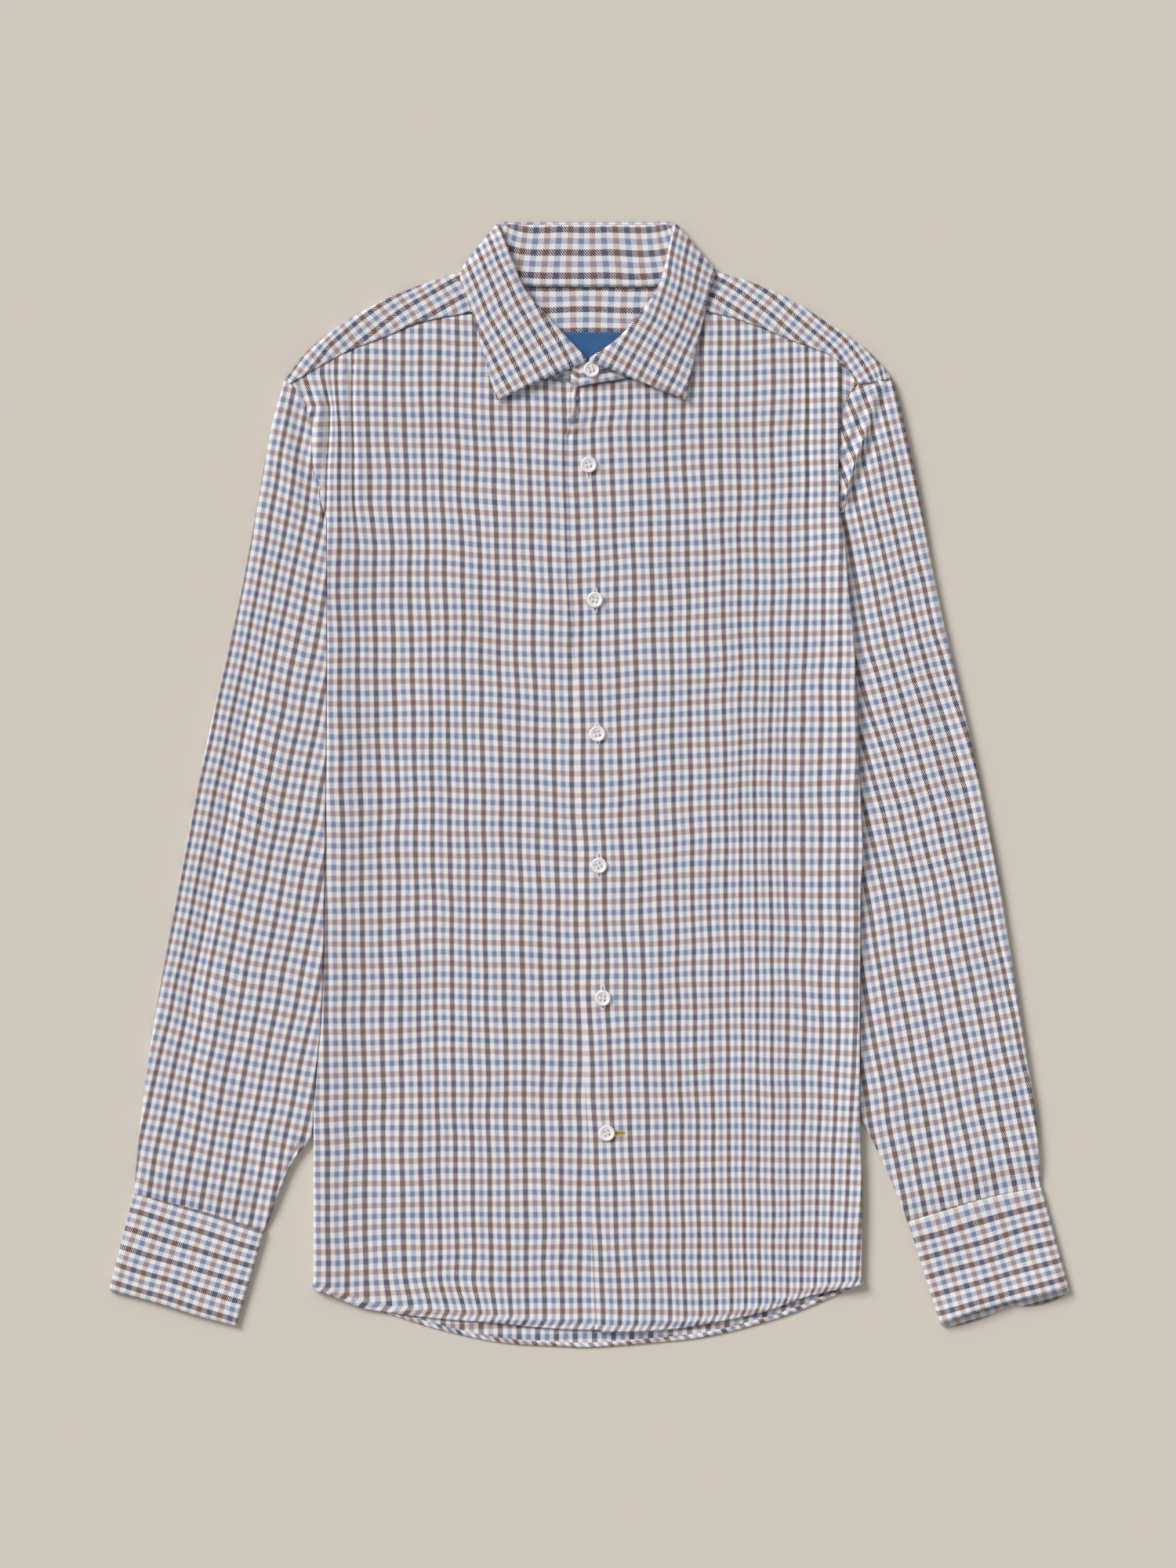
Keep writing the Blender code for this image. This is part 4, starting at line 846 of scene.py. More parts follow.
# Rows round the neck from the right front end to the left one. Columns: seam x, y, z; visible roll x, y;
# z of the stand's top; outer edge of the leaf x, y, z; lean of the leaf over the stand in degrees; radius of
# the roll; how far the leaf bows out.
COLLAR = (
    (1, 281.8, 5.0, -1.8, 298.6, 5.0, -64.4, 269.0, 7.4, 90, 1.8, 0),
    (-33, 287.6, 5.0, -19.2, 317.4, 5.4, -69.8, 287.0, 7.0, 90, 1.9, 0),
    (-48, 299, 5.2, -29.2, 328.4, 6.0, -73.6, 301.0, 6.9, 90, 2.0, 0),
    (-64, 316, 5.6, -44.6, 346.5, 6.6, -80.0, 323.5, 6.9, 90, 2.1, 0.5),
    (-75, 336, 6.4, -52.8, 365.8, 7.0, -86.4, 345.0, 6.9, 85, 2.1, 1.5),
    (-80, 350, 6.6, -58.0, 381.5, 6.8, -90.0, 354.5, 6.4, 70, 2.0, 2.0),
    (-79.5, 360.5, 5.6, -61.0, 390.5, 5.4, -87.2, 363.6, 4.0, 15, 1.7, 0.6),
    (-72, 358, 4.0, -57.5, 394.2, 4.7, -79.5, 364.5, 2.1, -60, 1.6, 0.5),
    (-50, 352, 3.6, -44.0, 394.4, 4.6, -50.0, 356.0, 1.3, -90, 1.65, 0),
    (0, 348.6, 3.6, 0.0, 394.4, 4.6, 0.0, 353.6, 1.3, -90, 1.65, 0),
    (50, 351.4, 3.6, 43.0, 394.4, 4.6, 50.0, 356.0, 1.3, -90, 1.65, 0),
    (72, 357, 4.0, 55.5, 394.0, 4.7, 78.5, 364.2, 2.1, -60, 1.6, 0.2),
    (79.5, 360, 5.6, 58.6, 389.6, 5.4, 86.4, 363.2, 4.0, 15, 1.7, 0.2),
    (80, 350, 6.6, 56.0, 378.0, 6.8, 88.4, 354.4, 6.4, 70, 2.0, 1.5),
    (75, 336, 6.4, 53.4, 364.0, 7.0, 85.0, 345.0, 6.9, 85, 2.1, 1.5),
    (64, 316, 5.8, 46.8, 345.4, 6.8, 80.4, 325.5, 7.0, 90, 2.1, 0.5),
    (48, 299, 6.4, 33.0, 326.6, 7.0, 76.6, 309.5, 7.0, 90, 2.0, 0),
    (32, 286.2, 6.9, 18.6, 311.0, 7.2, 72.4, 290.5, 7.2, 90, 2.0, 0),
    (2, 280.4, 7.0, 0.6, 298.6, 7.0, 68.4, 269.2, 7.6, 90, 2.1, 0),
)
STAND_RIGHT_END = ((12, 282.6, 5.0, 12, 296.6, 5.0), (20.5, 286, 5.0, 20.0, 294.6, 5.0))
STAND_LEFT_END = ((-7, 278.6, 7.0, -7.0, 296.0, 7.0), (-12.6, 281.8, 7.0, -12.2, 292.5, 7.0))
LEAF_STITCH_IN = 1.8
LEAF_ROWS, LEAF_CROWN = 30, 0.5  # rows below the roll, and how much higher the middle of the leaf lies
RIB_STEPS, STAND_STEPS, END_STEPS = 8, 15, 4
STAND_UNDER_ROLL = 0.3  # gap between the stand's top and the roll
STAND_BACK_OUT, STAND_BACK_DOWN = 2.0, 0.5  # how far the stand's foot lies out and down behind the neck
STAND_STRIPES = (7.6, 16.0)  # distance of stripe 0 from the seam, and the pitch, where the stand shows
STAND_BANDS = (3.4, 17.8)
STAND_END_FINER, STAND_END_Y = 0.26, (296, 312)  # the check at the stand's ends is finer, and where
BEHIND_UP = 44.9
# Numbers of the table's ribs between which the leaf's check turns into the one behind the neck and back, the
# rib in the middle, and the ribs up to which and from which the front edges are stitched.
RIGHT_TURN, LEFT_TURN, MIDDLE_RIB, RIGHT_STITCHED, LEFT_STITCHED = (6.2, 6.9), (11.1, 11.8), 9, 6.6, 11.4
# The leaf's check on each side: direction, a point, and tables of stripes and bands as on the fronts.
RIGHT_LEAF_CHECK = (
    118, -64, 269,
    (0, 1, 3, 5), ((10, 0.2, 11.5, 34.5, 57.2), (55, 0.5, 12, 33.2, 55.5), (85, 3.2, 15.5, 35.5, 55.8),
                   (105, 6, 18, 38, 58)),
    (0, 1, 3, 5, 7), ((5, 4, 17.8, 44, 74, 103), (25, 5.2, 19.5, 49.5, 77.8, 103),
                      (45, 6.5, 22.5, 52.8, 81.5, 105)))
LEFT_LEAF_CHECK = (
    62, 68, 269,
    (-5, -3, -1, 0), ((10, -57.5, -36.2, -14.8, -4), (40, -55.8, -36, -17.2, -6.8),
                      (70, -61, -41, -20, -9.5), (85, -66, -45.8, -23.5, -12), (115, -76, -55, -30.5, -17)),
    (0, 1, 3, 5, 7), ((-45, 2.5, 17.5, 46.8, 73.2, 98.2), (-25, 0.2, 15.5, 44.5, 73.5, 96),
                      (-5, 0.5, 14, 44, 75, 97)))


def stand_top(rib):
    """Middle of the stand's top edge: the visible roll, less the roll's own radius and cloth."""
    seam, roll = rib[0:3], np.array([*rib[3:5], rib[5]])
    way = (roll - seam) / np.linalg.norm(roll - seam)
    return roll - way * (rib[10] + FUSED / 2), way


def arc_rows(points):
    """Length along each row of a grid of points, from its first column."""
    steps = np.linalg.norm(np.diff(points, axis=1), axis=2)
    return np.concatenate([np.zeros((len(points), 1)), np.cumsum(steps, 1)], 1)


ribs = smooth(COLLAR, RIB_STEPS)
band = list(smooth(STAND_RIGHT_END[::-1], END_STEPS)[:-1])
for rib in ribs:
    top, way = stand_top(rib)
    at_back = fade(-rib[9], 0, 80)
    beside_neck = fade(abs(rib[0]), 10, 50)
    seam = rib[:3] - np.array([0, STAND_BACK_OUT * at_back * beside_neck, STAND_BACK_DOWN * at_back])
    band.append((*seam, *(top - way * STAND_UNDER_ROLL * (1 - at_back))))
band = np.array([*band, *smooth(STAND_LEFT_END, END_STEPS)])
steps = np.linspace(0, 1, STAND_STEPS)[None, :, None]
stand_points = band[:, None, :3] * (1 - steps) + band[:, None, 3:] * steps
up = np.linalg.norm(stand_points - stand_points[:, :1], axis=2)
round_neck = arc(band[:, :3])
middle = np.argmin(np.abs(band[:, 0]) + (band[:, 1] < 330) * 1000)
round_neck = round_neck[middle] - round_neck
stand_bands = np.broadcast_to(((round_neck + STAND_BANDS[0]) / STAND_BANDS[1])[:, None], up.shape)
stand_check = np.dstack([(up - STAND_STRIPES[0]) / STAND_STRIPES[1], stand_bands])
stand_check *= (1 + STAND_END_FINER * (1 - fade(band[:, 1], *STAND_END_Y)))[:, None, None]
stand = cloth("collar_stand_cloth", stand_points, stand_check, STAND_THICKNESS, offset=0)
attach(stand, "root")
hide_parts("collar_stand")

leaf_points, leaf_checks = [], []
roll_turns = np.radians(np.arange(0, 181, 15))
for rib in ribs:
    top, way = stand_top(rib)
    lean, radius, bow = math.radians(rib[9]), rib[10], rib[11]
    outward = np.array([way[1], -way[0], 0])
    outward *= 1 if outward @ (top - (0, 340, 0)) > 0 else -1
    outward /= np.linalg.norm(outward)
    across = np.array([0, 0, 1]) * math.sin(lean) + outward * math.cos(lean)
    row = [top + radius * (across * (1 - math.cos(turn)) + way * math.sin(turn)) for turn in roll_turns]
    start, edge = row[-1], rib[6:9]
    for t in np.linspace(0, 1, LEAF_ROWS + 1)[1:]:
        crown = 4 * t * (1 - t)
        bowed = outward * bow * crown + np.array([0, 0, LEAF_CROWN]) * crown * math.sin(lean)
        row.append(start * (1 - t) + edge * t + bowed)
    leaf_points.append(row)
leaf_points = np.array(leaf_points)
x, y = leaf_points[..., 0], leaf_points[..., 1]
for *from_point, numbers, stripe_rows, band_numbers, band_rows in (RIGHT_LEAF_CHECK, LEFT_LEAF_CHECK):
    across, along = turned(x, y, *from_point)
    leaf_checks.append(np.dstack([counted(across, along, stripe_rows, numbers),
                                  counted(along, across, band_rows, band_numbers)]))
behind_up = arc_rows(leaf_points) + BEHIND_UP
behind_check = np.dstack([(behind_up - STAND_STRIPES[0]) / STAND_STRIPES[1],
                          (-x + STAND_BANDS[0]) / STAND_BANDS[1]])
rib_number = np.arange(len(ribs))[:, None, None] / RIB_STEPS
to_behind = fade(rib_number, *RIGHT_TURN) * (1 - fade(rib_number, *LEFT_TURN))
is_left = (rib_number > MIDDLE_RIB).astype(float)
leaf_check = leaf_checks[0] * (1 - is_left) + leaf_checks[1] * is_left
leaf_check = leaf_check * (1 - to_behind) + behind_check * to_behind
leaf = cloth("collar_leaf_cloth", leaf_points, leaf_check, LEAF_THICKNESS, offset=0)
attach(leaf, "root")
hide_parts("collar_leaf")

on_leaf = leaf_points + np.array([0, 0, LEAF_THICKNESS / 2])
right_ribs, left_ribs = on_leaf[:int(RIGHT_STITCHED * RIB_STEPS)], on_leaf[int(LEFT_STITCHED * RIB_STEPS):]
past_roll = len(roll_turns) - 1
collar_lines = [inset(rows[:, past_roll:], LEAF_STITCH_IN) for rows in (right_ribs, left_ribs)]
for rows in (right_ribs[::-1], left_ribs):
    collar_lines.append(inset(rows.swapaxes(0, 1)[past_roll:-1], LEAF_STITCH_IN))
stitched("collar_stitches", collar_lines)

# ---------------------------------------------------------------------------------------------------------
# The sleeves, one tube of flannel each with its seam at the inner fold, set into the armholes and pressed
# flat beside the body.
# ---------------------------------------------------------------------------------------------------------
SLEEVE_HEIGHT, INNER_SLEEVE_HEIGHT, LEFT_INNER_HEIGHT = 6.0, 5.0, 3.0
ARMHOLE_LAP, SIDE_GAP, SLEEVE_LEAVES = 1.6, 0.1, 12.0
FOLD_SHARPNESS = 0.6  # how far in a pressed fold's round reaches, as a share of its half height
FINE_SHARE = 0.3  # part of the width beside the body that is modelled more finely
FINE_COLUMNS, FEWER_COLUMNS = 46, 10  # columns in that part, and how many fewer there are in the rest
MOUTH_LIFT = 2.6  # how far the upper layer of an open cuff stands up at its hem
MOUTH_SPLIT = 0.53  # where the lower layer of an open cuff is caught up between its two lobes
# Share of height that a tube loses at its top and at its foot, and over what length.
SLEEVE_DROPS, NO_DROPS = ((0.1, 6.0), (0.42, 24.0)), ((0, 1), (0, 1))
LOBES_FROM, LIFT_FROM = 0.5, 0.55  # share of the way down an open cuff at which its mouth starts to gape
CREASES_FROM = 0.3, 1.2  # how far in from a fold the creases set in, in half heights of the tube
SLEEVE_PUCKER, SLEEVE_PUCKER_REACH = 1.2, 8
SLEEVE_LENGTH, LAP_SHARE = 620, 0.05
RIGHT_SLEEVE_OUTER = ((-213.6, 283.2), (-221.7, 254.7), (-228.8, 217.3), (-239.3, 159), (-247.5, 118.3),
                      (-269, 24.2), (-289.3, -79.2), (-306.9, -179.3), (-316, -250), (-319.2, -288.6))
RIGHT_SLEEVE_FREE = ((-195.2, -249), (-204, -260.2), (-212.3, -275), (-227.8, -314.8))
RIGHT_CUFF_SEAM = ((-319.2, -288.6), (-274.5, -300.2), (-227.8, -314.8))
LEFT_SLEEVE_OUTER = ((213.2, 283.4), (219.5, 261.8), (229.8, 214), (241.5, 150), (253, 96.3), (267.3, 34.7),
                     (277.8, -16), (288.8, -72.6), (304.7, -174), (313.8, -233), (317.6, -284.4))
LEFT_SLEEVE_FREE = ((195.6, -243), (207, -266.8), (218, -292), (224, -308.6))
LEFT_CUFF_SEAM = ((224, -308.6), (259.6, -297), (286.6, -289.9), (317.6, -284.4))
RIGHT_SLEEVE_CREASES = (
    (-238, 66, -275, -132, 7, -1.3), (-275, -132, -288, -228, 8, -1.1), (-205, 262, -196, 205, 4, -1.2),
    (-222, 70, -240, -60, 12, 0.5), (-213, 250, -208, 190, 5, 0.7), (-199.5, -246, -219, -286, 1.1, -1.2),
    (-203, -240, -224, -285, 3.5, 0.7), (-252, -150, -246, -262, 4, -0.7), (-240, -215, -233, -300, 3, -0.8),
    (-262, -90, -262, -190, 9, 0.5), (-291, -120, -304, -215, 6, -0.6),
)
LEFT_SLEEVE_CREASES = (
    (208, 274, 200.8, 247, 3.2, -1.9), (200.8, 247, 190.4, 218, 3.2, -2.4),
    (190.4, 218, 185.5, 190, 3.4, -2.4), (196.4, 275, 189.2, 247.5, 2.0, -1.0),
    (189.2, 247.5, 182, 225.5, 2.0, -0.9), (193.6, 275, 199, 261, 1.2, -1.0),
    (189.2, 255.8, 194.7, 248.6, 1.1, -1.0), (182.6, 244.8, 188.7, 236.5, 1.1, -0.9),
    (177, 233.8, 184.8, 220, 1.3, -1.1), (209, 268, 200, 215, 6, 0.6), (183, 176, 193, 84, 6, -0.9),
    (193, 84, 197, -60, 6, -0.8), (197, -60, 197, -230, 6, -0.6),
    (240, 90, 272, -50, 5, -1.4), (272, -50, 296, -160, 6, -1.0), (303, -190, 315, -283, 3, -1.1),
    (290.5, -137, 293.5, -151, 2.5, -0.9), (250, -20, 262, -110, 10, 0.5), (240, -200, 246, -290, 5, -0.6),
)
# The folds that the top of the left sleeve bunches into, in the same columns, and the line of the main one.
ARM_FLAPS = (
    (203, 277.8, 195.3, 249.2, 5, 2.8), (195.3, 249.2, 184.8, 220.6, 5, 4.2),
    (184.8, 220.6, 180.4, 200.8, 4.5, 4.0), (191.4, 280.5, 184.3, 247.5, 3.5, 1.8),
    (184.3, 247.5, 178.2, 231, 3, 1.8),
)
ARM_FOLD = ((207, 281), (201.5, 270), (195.3, 249.2), (184.8, 220.6), (180.4, 200.8), (177, 190))
# Inside that fold the check turns about a point: how much of the turn shows, how far from the fold it sets
# in, the height that it ends at, and how many stripes and bands it moves for each millimetre out and up.
BUNCH_AT, BUNCH_SHARE, BUNCH_EDGE, BUNCH_ENDS_Y = (190, 272), 0.7, (-2.4, 0.8), 191
BUNCH_STRIPES, BUNCH_BANDS = (-0.0053, 0.0156), (-0.0132, -0.0045)
# Directions and starts of the sleeves' checks, then tables of stripes and bands as on the fronts.
RIGHT_SLEEVE_CHECK = (
    79, -213, 283,
    (0, 2, 4), ((-50, 7, 29.5, 50), (-90, 8.2, 31.8, 56.2), (-180, 9.2, 30.2, 55.8), (-290, 7.2, 28.8, 54),
                (-410, 6.2, 27, 52.5), (-530, 2.5, 27, 51.8)),
    (-30, -24, -12, 0, 5), ((5, -570.2, -478, -293.8, -112, -36.2),
                            (50, -572.5, -482, -300.2, -118.2, -43.5)))
LEFT_SLEEVE_CHECK = (
    103, 213, 283,
    (0, 2, 4), ((-90, -55, -32.8, -11), (-180, -58, -34.2, -11.5), (-230, -55, -31.2, -7.5),
                (-290, -51, -27.8, -2.2), (-350, -50.5, -26.8, -5), (-410, -52.8, -28, -6.5),
                (-570, -56.8, -30.8, -8)),
    (-30, -24, -12, 0, 6), ((-50, -560, -467.2, -283.8, -105, -15.5), (-5, -562, -467, -283.8, -103.2, -13)))


def inner_fold(wearers, free):
    """Inner fold of a sleeve: along the side of the body, a gap away from it, then free to the cuff."""
    line, underarm = body_edge(wearers)
    beside = stretch(line, underarm, nearest(line, free[0][0], free[0][1] + SLEEVE_LEAVES))
    apart = SIDE_GAP * (-1 if wearers == "right" else 1)
    rows = moved(beside, apart)(np.linspace(0, 1, 14))
    return curve([*rows, *free])


def flat_tube(left, right, top, bottom, rows, heights, creases=(), flaps=(), drops=NO_DROPS, underlap=0.0,
              fine=None, step=2.6):
    """Grid of a tube pressed flat on the floor: the upper wall from left to right, then the lower one back.

    It gives the points, and the number of the column where the lower wall starts. fine names the side of the
    grid whose columns are closer, and underlap is how much longer the lower wall is than the upper one.
    """
    at = panel(left, right, top, bottom)
    turns = np.radians([0, 15, 30, 45, 60, 75, 90])
    left_radius, right_radius = heights[0] / 2, heights[1] / 2
    v = rows[:, None]
    width = np.linalg.norm(left(rows) - right(rows), axis=1)[:, None]
    depth = (left(1.0) + right(1.0) - left(0.0) - right(0.0)) / 2
    length = np.linalg.norm(depth)
    l_share, r_share = FOLD_SHARPNESS * left_radius / width, FOLD_SHARPNESS * right_radius / width
    count = round(width.mean() / step)
    flat = np.linspace(0, 1, count)[None, 1:-1]
    if fine is not None:
        close = np.linspace(0, FINE_SHARE, FINE_COLUMNS)
        wide = np.linspace(FINE_SHARE, 1, count - FEWER_COLUMNS)
        flat = np.concatenate([close, wide[1:]])[None, 1:-1]
        flat = 1 - flat[:, ::-1] if fine == "right" else flat
    shares = [l_share * (1 - np.cos(turns)), l_share + (1 - l_share - r_share) * flat,
              1 - r_share * (1 - np.cos(turns[::-1]))]
    levels = [left_radius * (1 + np.sin(turns)), (heights[0] + (heights[1] - heights[0]) * flat)[0],
              right_radius * (1 + np.sin(turns[::-1]))]
    upper = sum(part.shape[1] for part in shares)
    back_flat = np.linspace(1, 0, count // 2)[None, 1:-1]
    shares += [1 - r_share * (1 - np.cos(turns[1:])), back_flat + 0 * v,
               l_share * (1 - np.cos(turns[:0:-1]))]
    levels += [right_radius * (1 - np.sin(turns[1:])), 0 * back_flat[0],
               left_radius * (1 - np.sin(turns[:0:-1]))]
    u = np.concatenate(shares, 1)
    z = np.broadcast_to(np.concatenate(levels)[None], u.shape).copy()
    lower = np.arange(u.shape[1])[None] >= upper
    lobe_share = np.where(u < MOUTH_SPLIT, u / MOUTH_SPLIT, (u - 1) / (1 - MOUTH_SPLIT))
    lobes = np.sqrt(np.abs(np.sin(math.pi * lobe_share)))
    plan = at(u, v + 0 * u) + depth * (underlap * fade(v, LOBES_FROM, 1) * lobes * lower)[..., None]
    x, y = plan[..., 0], plan[..., 1]
    edge = np.minimum(u * width / left_radius, (1 - u) * width / right_radius)
    raised = np.where(lower, 0, fade(edge, *CREASES_FROM))
    z += raised * (crease(x, y, creases) + flap(x, y, flaps) + UNEVEN * ripple(x, y))
    z += raised * (underlap > 0) * MOUTH_LIFT * lobes * fade(v, LIFT_FROM, 1)
    (top_drop, top_reach), (low_drop, low_reach) = drops
    z += raised * (top_drop > 0) * SLEEVE_PUCKER * pucker(u * width, v * length, SLEEVE_PUCKER_REACH)
    at_top, at_foot = 1 - fade(v * length, 0, top_reach), 1 - fade((1 - v) * length, 0, low_reach)
    z *= 1 - top_drop * at_top - low_drop * at_foot
    return np.dstack([x, y, z]), upper


def tube_check(points, upper, degrees, from_x, from_y, numbers, stripe_rows, band_numbers, band_rows):
    """Check of a flat tube: counted on its upper wall, and carried over the right fold to its lower one."""
    across, along = turned(points[..., 0], points[..., 1], degrees, from_x, from_y)
    stripes = counted(across, along, stripe_rows, numbers)
    bands = counted(along, across, band_rows, band_numbers)
    fold = stripes[:, upper - 1:upper]
    stripes[:, upper:] = 2 * fold - stripes[:, upper:]
    ends = np.stack([2 * fold[:, 0] - stripes[:, 0], bands[:, 0]], -1)
    return np.concatenate([np.dstack([stripes, bands]), ends[:, None]], 1)


def sleeve_head(wearers):
    """Top edge of a sleeve, from shoulder to underarm: on the armhole, then lapped under the body."""
    line, underarm = body_edge(wearers)
    armhole = stretch(line, 0, underarm)
    under = moved(armhole, ARMHOLE_LAP if wearers == "right" else -ARMHOLE_LAP)

    def at(f):
        return armhole(f) + (under(f) - armhole(f)) * fade(np.asarray(f, float), 0, LAP_SHARE)[..., None]
    return at


def bunch(points, upper, check):
    """The left sleeve's check, turned where the cloth is bunched inside the fold at the armhole."""
    x, y = points[..., 0], points[..., 1]
    fold = curve(ARM_FOLD)(np.linspace(0, 1, 80))[::-1]
    inside = np.interp(y, fold[:, 1], fold[:, 0]) - x
    share = BUNCH_SHARE * fade(inside, *BUNCH_EDGE) * (y > BUNCH_ENDS_Y)
    share[:, upper:] = 0
    out, up = x - BUNCH_AT[0], y - BUNCH_AT[1]
    check[:, :-1, 0] += share * (BUNCH_STRIPES[0] * out + BUNCH_STRIPES[1] * up)
    check[:, :-1, 1] += share * (BUNCH_BANDS[0] * out + BUNCH_BANDS[1] * up)


sleeves = {}
for wearers, outer, free, cuff_seam, creases, check_facts in (
        ("right", RIGHT_SLEEVE_OUTER, RIGHT_SLEEVE_FREE, RIGHT_CUFF_SEAM,
         RIGHT_SLEEVE_CREASES, RIGHT_SLEEVE_CHECK),
        ("left", LEFT_SLEEVE_OUTER, LEFT_SLEEVE_FREE, LEFT_CUFF_SEAM,
         LEFT_SLEEVE_CREASES, LEFT_SLEEVE_CHECK)):
    head, inner = sleeve_head(wearers), inner_fold(wearers, free)
    outer_fold, bottom = curve(outer), curve(cuff_seam)
    rows = spaced(SLEEVE_LENGTH, ROW_STEP)
    if wearers == "right":
        points, upper = flat_tube(outer_fold, inner, head, bottom, rows,
                                  (SLEEVE_HEIGHT, INNER_SLEEVE_HEIGHT), creases, (), SLEEVE_DROPS,
                                  fine="right")
    else:
        points, upper = flat_tube(inner, outer_fold, lambda f: head(1 - np.asarray(f)), bottom, rows,
                                  (LEFT_INNER_HEIGHT, SLEEVE_HEIGHT), creases, ARM_FLAPS, SLEEVE_DROPS,
                                  fine="left")
    check = tube_check(points, upper, *check_facts)
    if wearers == "left":
        bunch(points, upper, check)
    piece = cloth("sleeve_" + wearers + "_cloth", points, check, FLANNEL, closed=True)
    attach(piece, "root")
    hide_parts("sleeve_" + wearers)
    sleeves[wearers] = piece, points

# ---------------------------------------------------------------------------------------------------------
# The cuffs, a band of two layers and interlining sewn round each sleeve's end, buttoned underneath, with
# square corners and the check turned across the arm.
# ---------------------------------------------------------------------------------------------------------
CUFF_HEIGHT, CUFF_CLOTH = 4.8, 1.3
RIGHT_CUFF_OUTER = ((-319.2, -287.3), (-336.6, -355.3))
RIGHT_CUFF_INNER = ((-227.8, -313.5), (-247.5, -380.1))
RIGHT_CUFF_HEM = ((-336.6, -355.3), (-308.6, -362.5), (-274.5, -373), (-247.5, -380.1))
LEFT_CUFF_INNER = ((224, -307.3), (247, -379.5))
LEFT_CUFF_OUTER = ((317.6, -283.1), (337.2, -354.5))
LEFT_CUFF_HEM = ((247, -379.5), (270, -370.4), (293.7, -364), (320.7, -358), (337.2, -354.5))
LEFT_CUFF_UNDERLAP = 0.085
CUFF_LAP, CUFF_STEP, CUFF_LENGTH = 1.3, 2.2, 67
SIDE_STITCH_IN, HEM_SIDE_STITCH_IN, SEAM_STITCH_IN, STITCH_SIDES = 3.2, 2.0, 1.4, 3
# The cuffs' checks in the order that plain_check takes them, and how much finer the left one is at its seam.
RIGHT_CUFF_CHECK = (163, -273, -300, -13.0, 9.8, 13.0, 14.8)
LEFT_CUFF_CHECK = (15.6, 273, -300, 8.0, 0.0, 13.3, 14.3)
LEFT_SEAM_STRIPES = 0.76

cuffs = {}
for wearers, left_edge, right_edge, seam, hem, underlap, facts in (
        ("right", RIGHT_CUFF_OUTER, RIGHT_CUFF_INNER, RIGHT_CUFF_SEAM, RIGHT_CUFF_HEM, 0, RIGHT_CUFF_CHECK),
        ("left", LEFT_CUFF_INNER, LEFT_CUFF_OUTER, LEFT_CUFF_SEAM, LEFT_CUFF_HEM, LEFT_CUFF_UNDERLAP,
         LEFT_CUFF_CHECK)):
    top = curve([(x, y + CUFF_LAP) for x, y in seam])
    points, upper = flat_tube(curve(left_edge), curve(right_edge), top, curve(hem),
                              spaced(CUFF_LENGTH, CUFF_STEP), (CUFF_HEIGHT, CUFF_HEIGHT),
                              underlap=underlap, step=CUFF_STEP)
    check = plain_check(points[..., 0], points[..., 1], *facts)
    if wearers == "left":
        check[..., 0] *= np.where(check[..., 0] < 0, LEFT_SEAM_STRIPES, 1)
    fold = check[:, upper - 1:upper, 1]
    check[:, upper:, 1] = 2 * fold - check[:, upper:, 1]
    ends = np.stack([check[:, 0, 0], 2 * fold[:, 0] - check[:, 0, 1]], -1)
    check = np.concatenate([check, ends[:, None]], 1)
    piece = cloth("cuff_" + wearers + "_cloth", points, check, CUFF_CLOTH, closed=True)
    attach(piece, "root")
    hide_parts("cuff_" + wearers)
    cuffs[wearers] = piece, points
    face = points[:, :upper]
    down = face.swapaxes(0, 1)[STITCH_SIDES:-STITCH_SIDES]
    stitched("cuff_" + wearers + "_stitches", [
        inset(face[:, ::-1], SIDE_STITCH_IN), inset(face, SIDE_STITCH_IN), inset(down, HEM_SIDE_STITCH_IN),
        inset(down[:, ::-1], SEAM_STITCH_IN)])

# ---------------------------------------------------------------------------------------------------------
# The buttons, turned from pinkish pearl blanks, with a raised rim, a dished face and four holes. Each is
# sewn on with white thread, and passes through a stitched buttonhole of the left front or of the stand.
# ---------------------------------------------------------------------------------------------------------
# Name, place, turn of the holes in degrees, and how far the buttonhole reaches past the centre on both
# sides: down and up, and on the lowest one, which lies across, left and right.
BUTTONS = (
    ("button_collar", 1.9, 290.4, 7.7, 20, -5.1, 5.1),
    ("button_1", 0.0, 223.9, 4.1, 16, -9.6, 5.1),
    ("button_2", 4.4, 129.2, 4.1, -8, -9.0, 8.0),
    ("button_3", 6.1, 35.2, 4.1, 12, -7.8, 7.2),
    ("button_4", 7.2, -57.2, 4.1, 28, -8.6, 8.8),
    ("button_5", 9.9, -150.2, 4.1, -4, -8.0, 9.2),
    ("button_6", 12.7, -244.8, 4.1, 18, -1.0, 12.6),
)
BUTTONHOLE_HALF = 1.0
BUTTON_SECTION = ((0, 1.45), (2.4, 1.45), (3.4, 1.5), (3.9, 1.75), (4.3, 2.05), (4.8, 2.12), (5.25, 1.95),
                  (5.5, 1.6), (5.6, 1.2), (5.3, 0.6), (4.6, 0.1), (3.6, 0), (0, 0))
BUTTON_STEPS = 64
HOLE_RADIUS, HOLE_PLACE = 0.75, 1.35
BUTTON_TOP, STAND_FACE = 1.45, 7.7
CLOUD_SCALE = 260.0
DRILL_LENGTH, DRILL_SIDES, SHARP_ANGLE = 8, 20, 40
THREAD_SPREAD, COLLAR_SPREAD = 0.25, 0.62  # half of how far the threads spread over a pair of holes


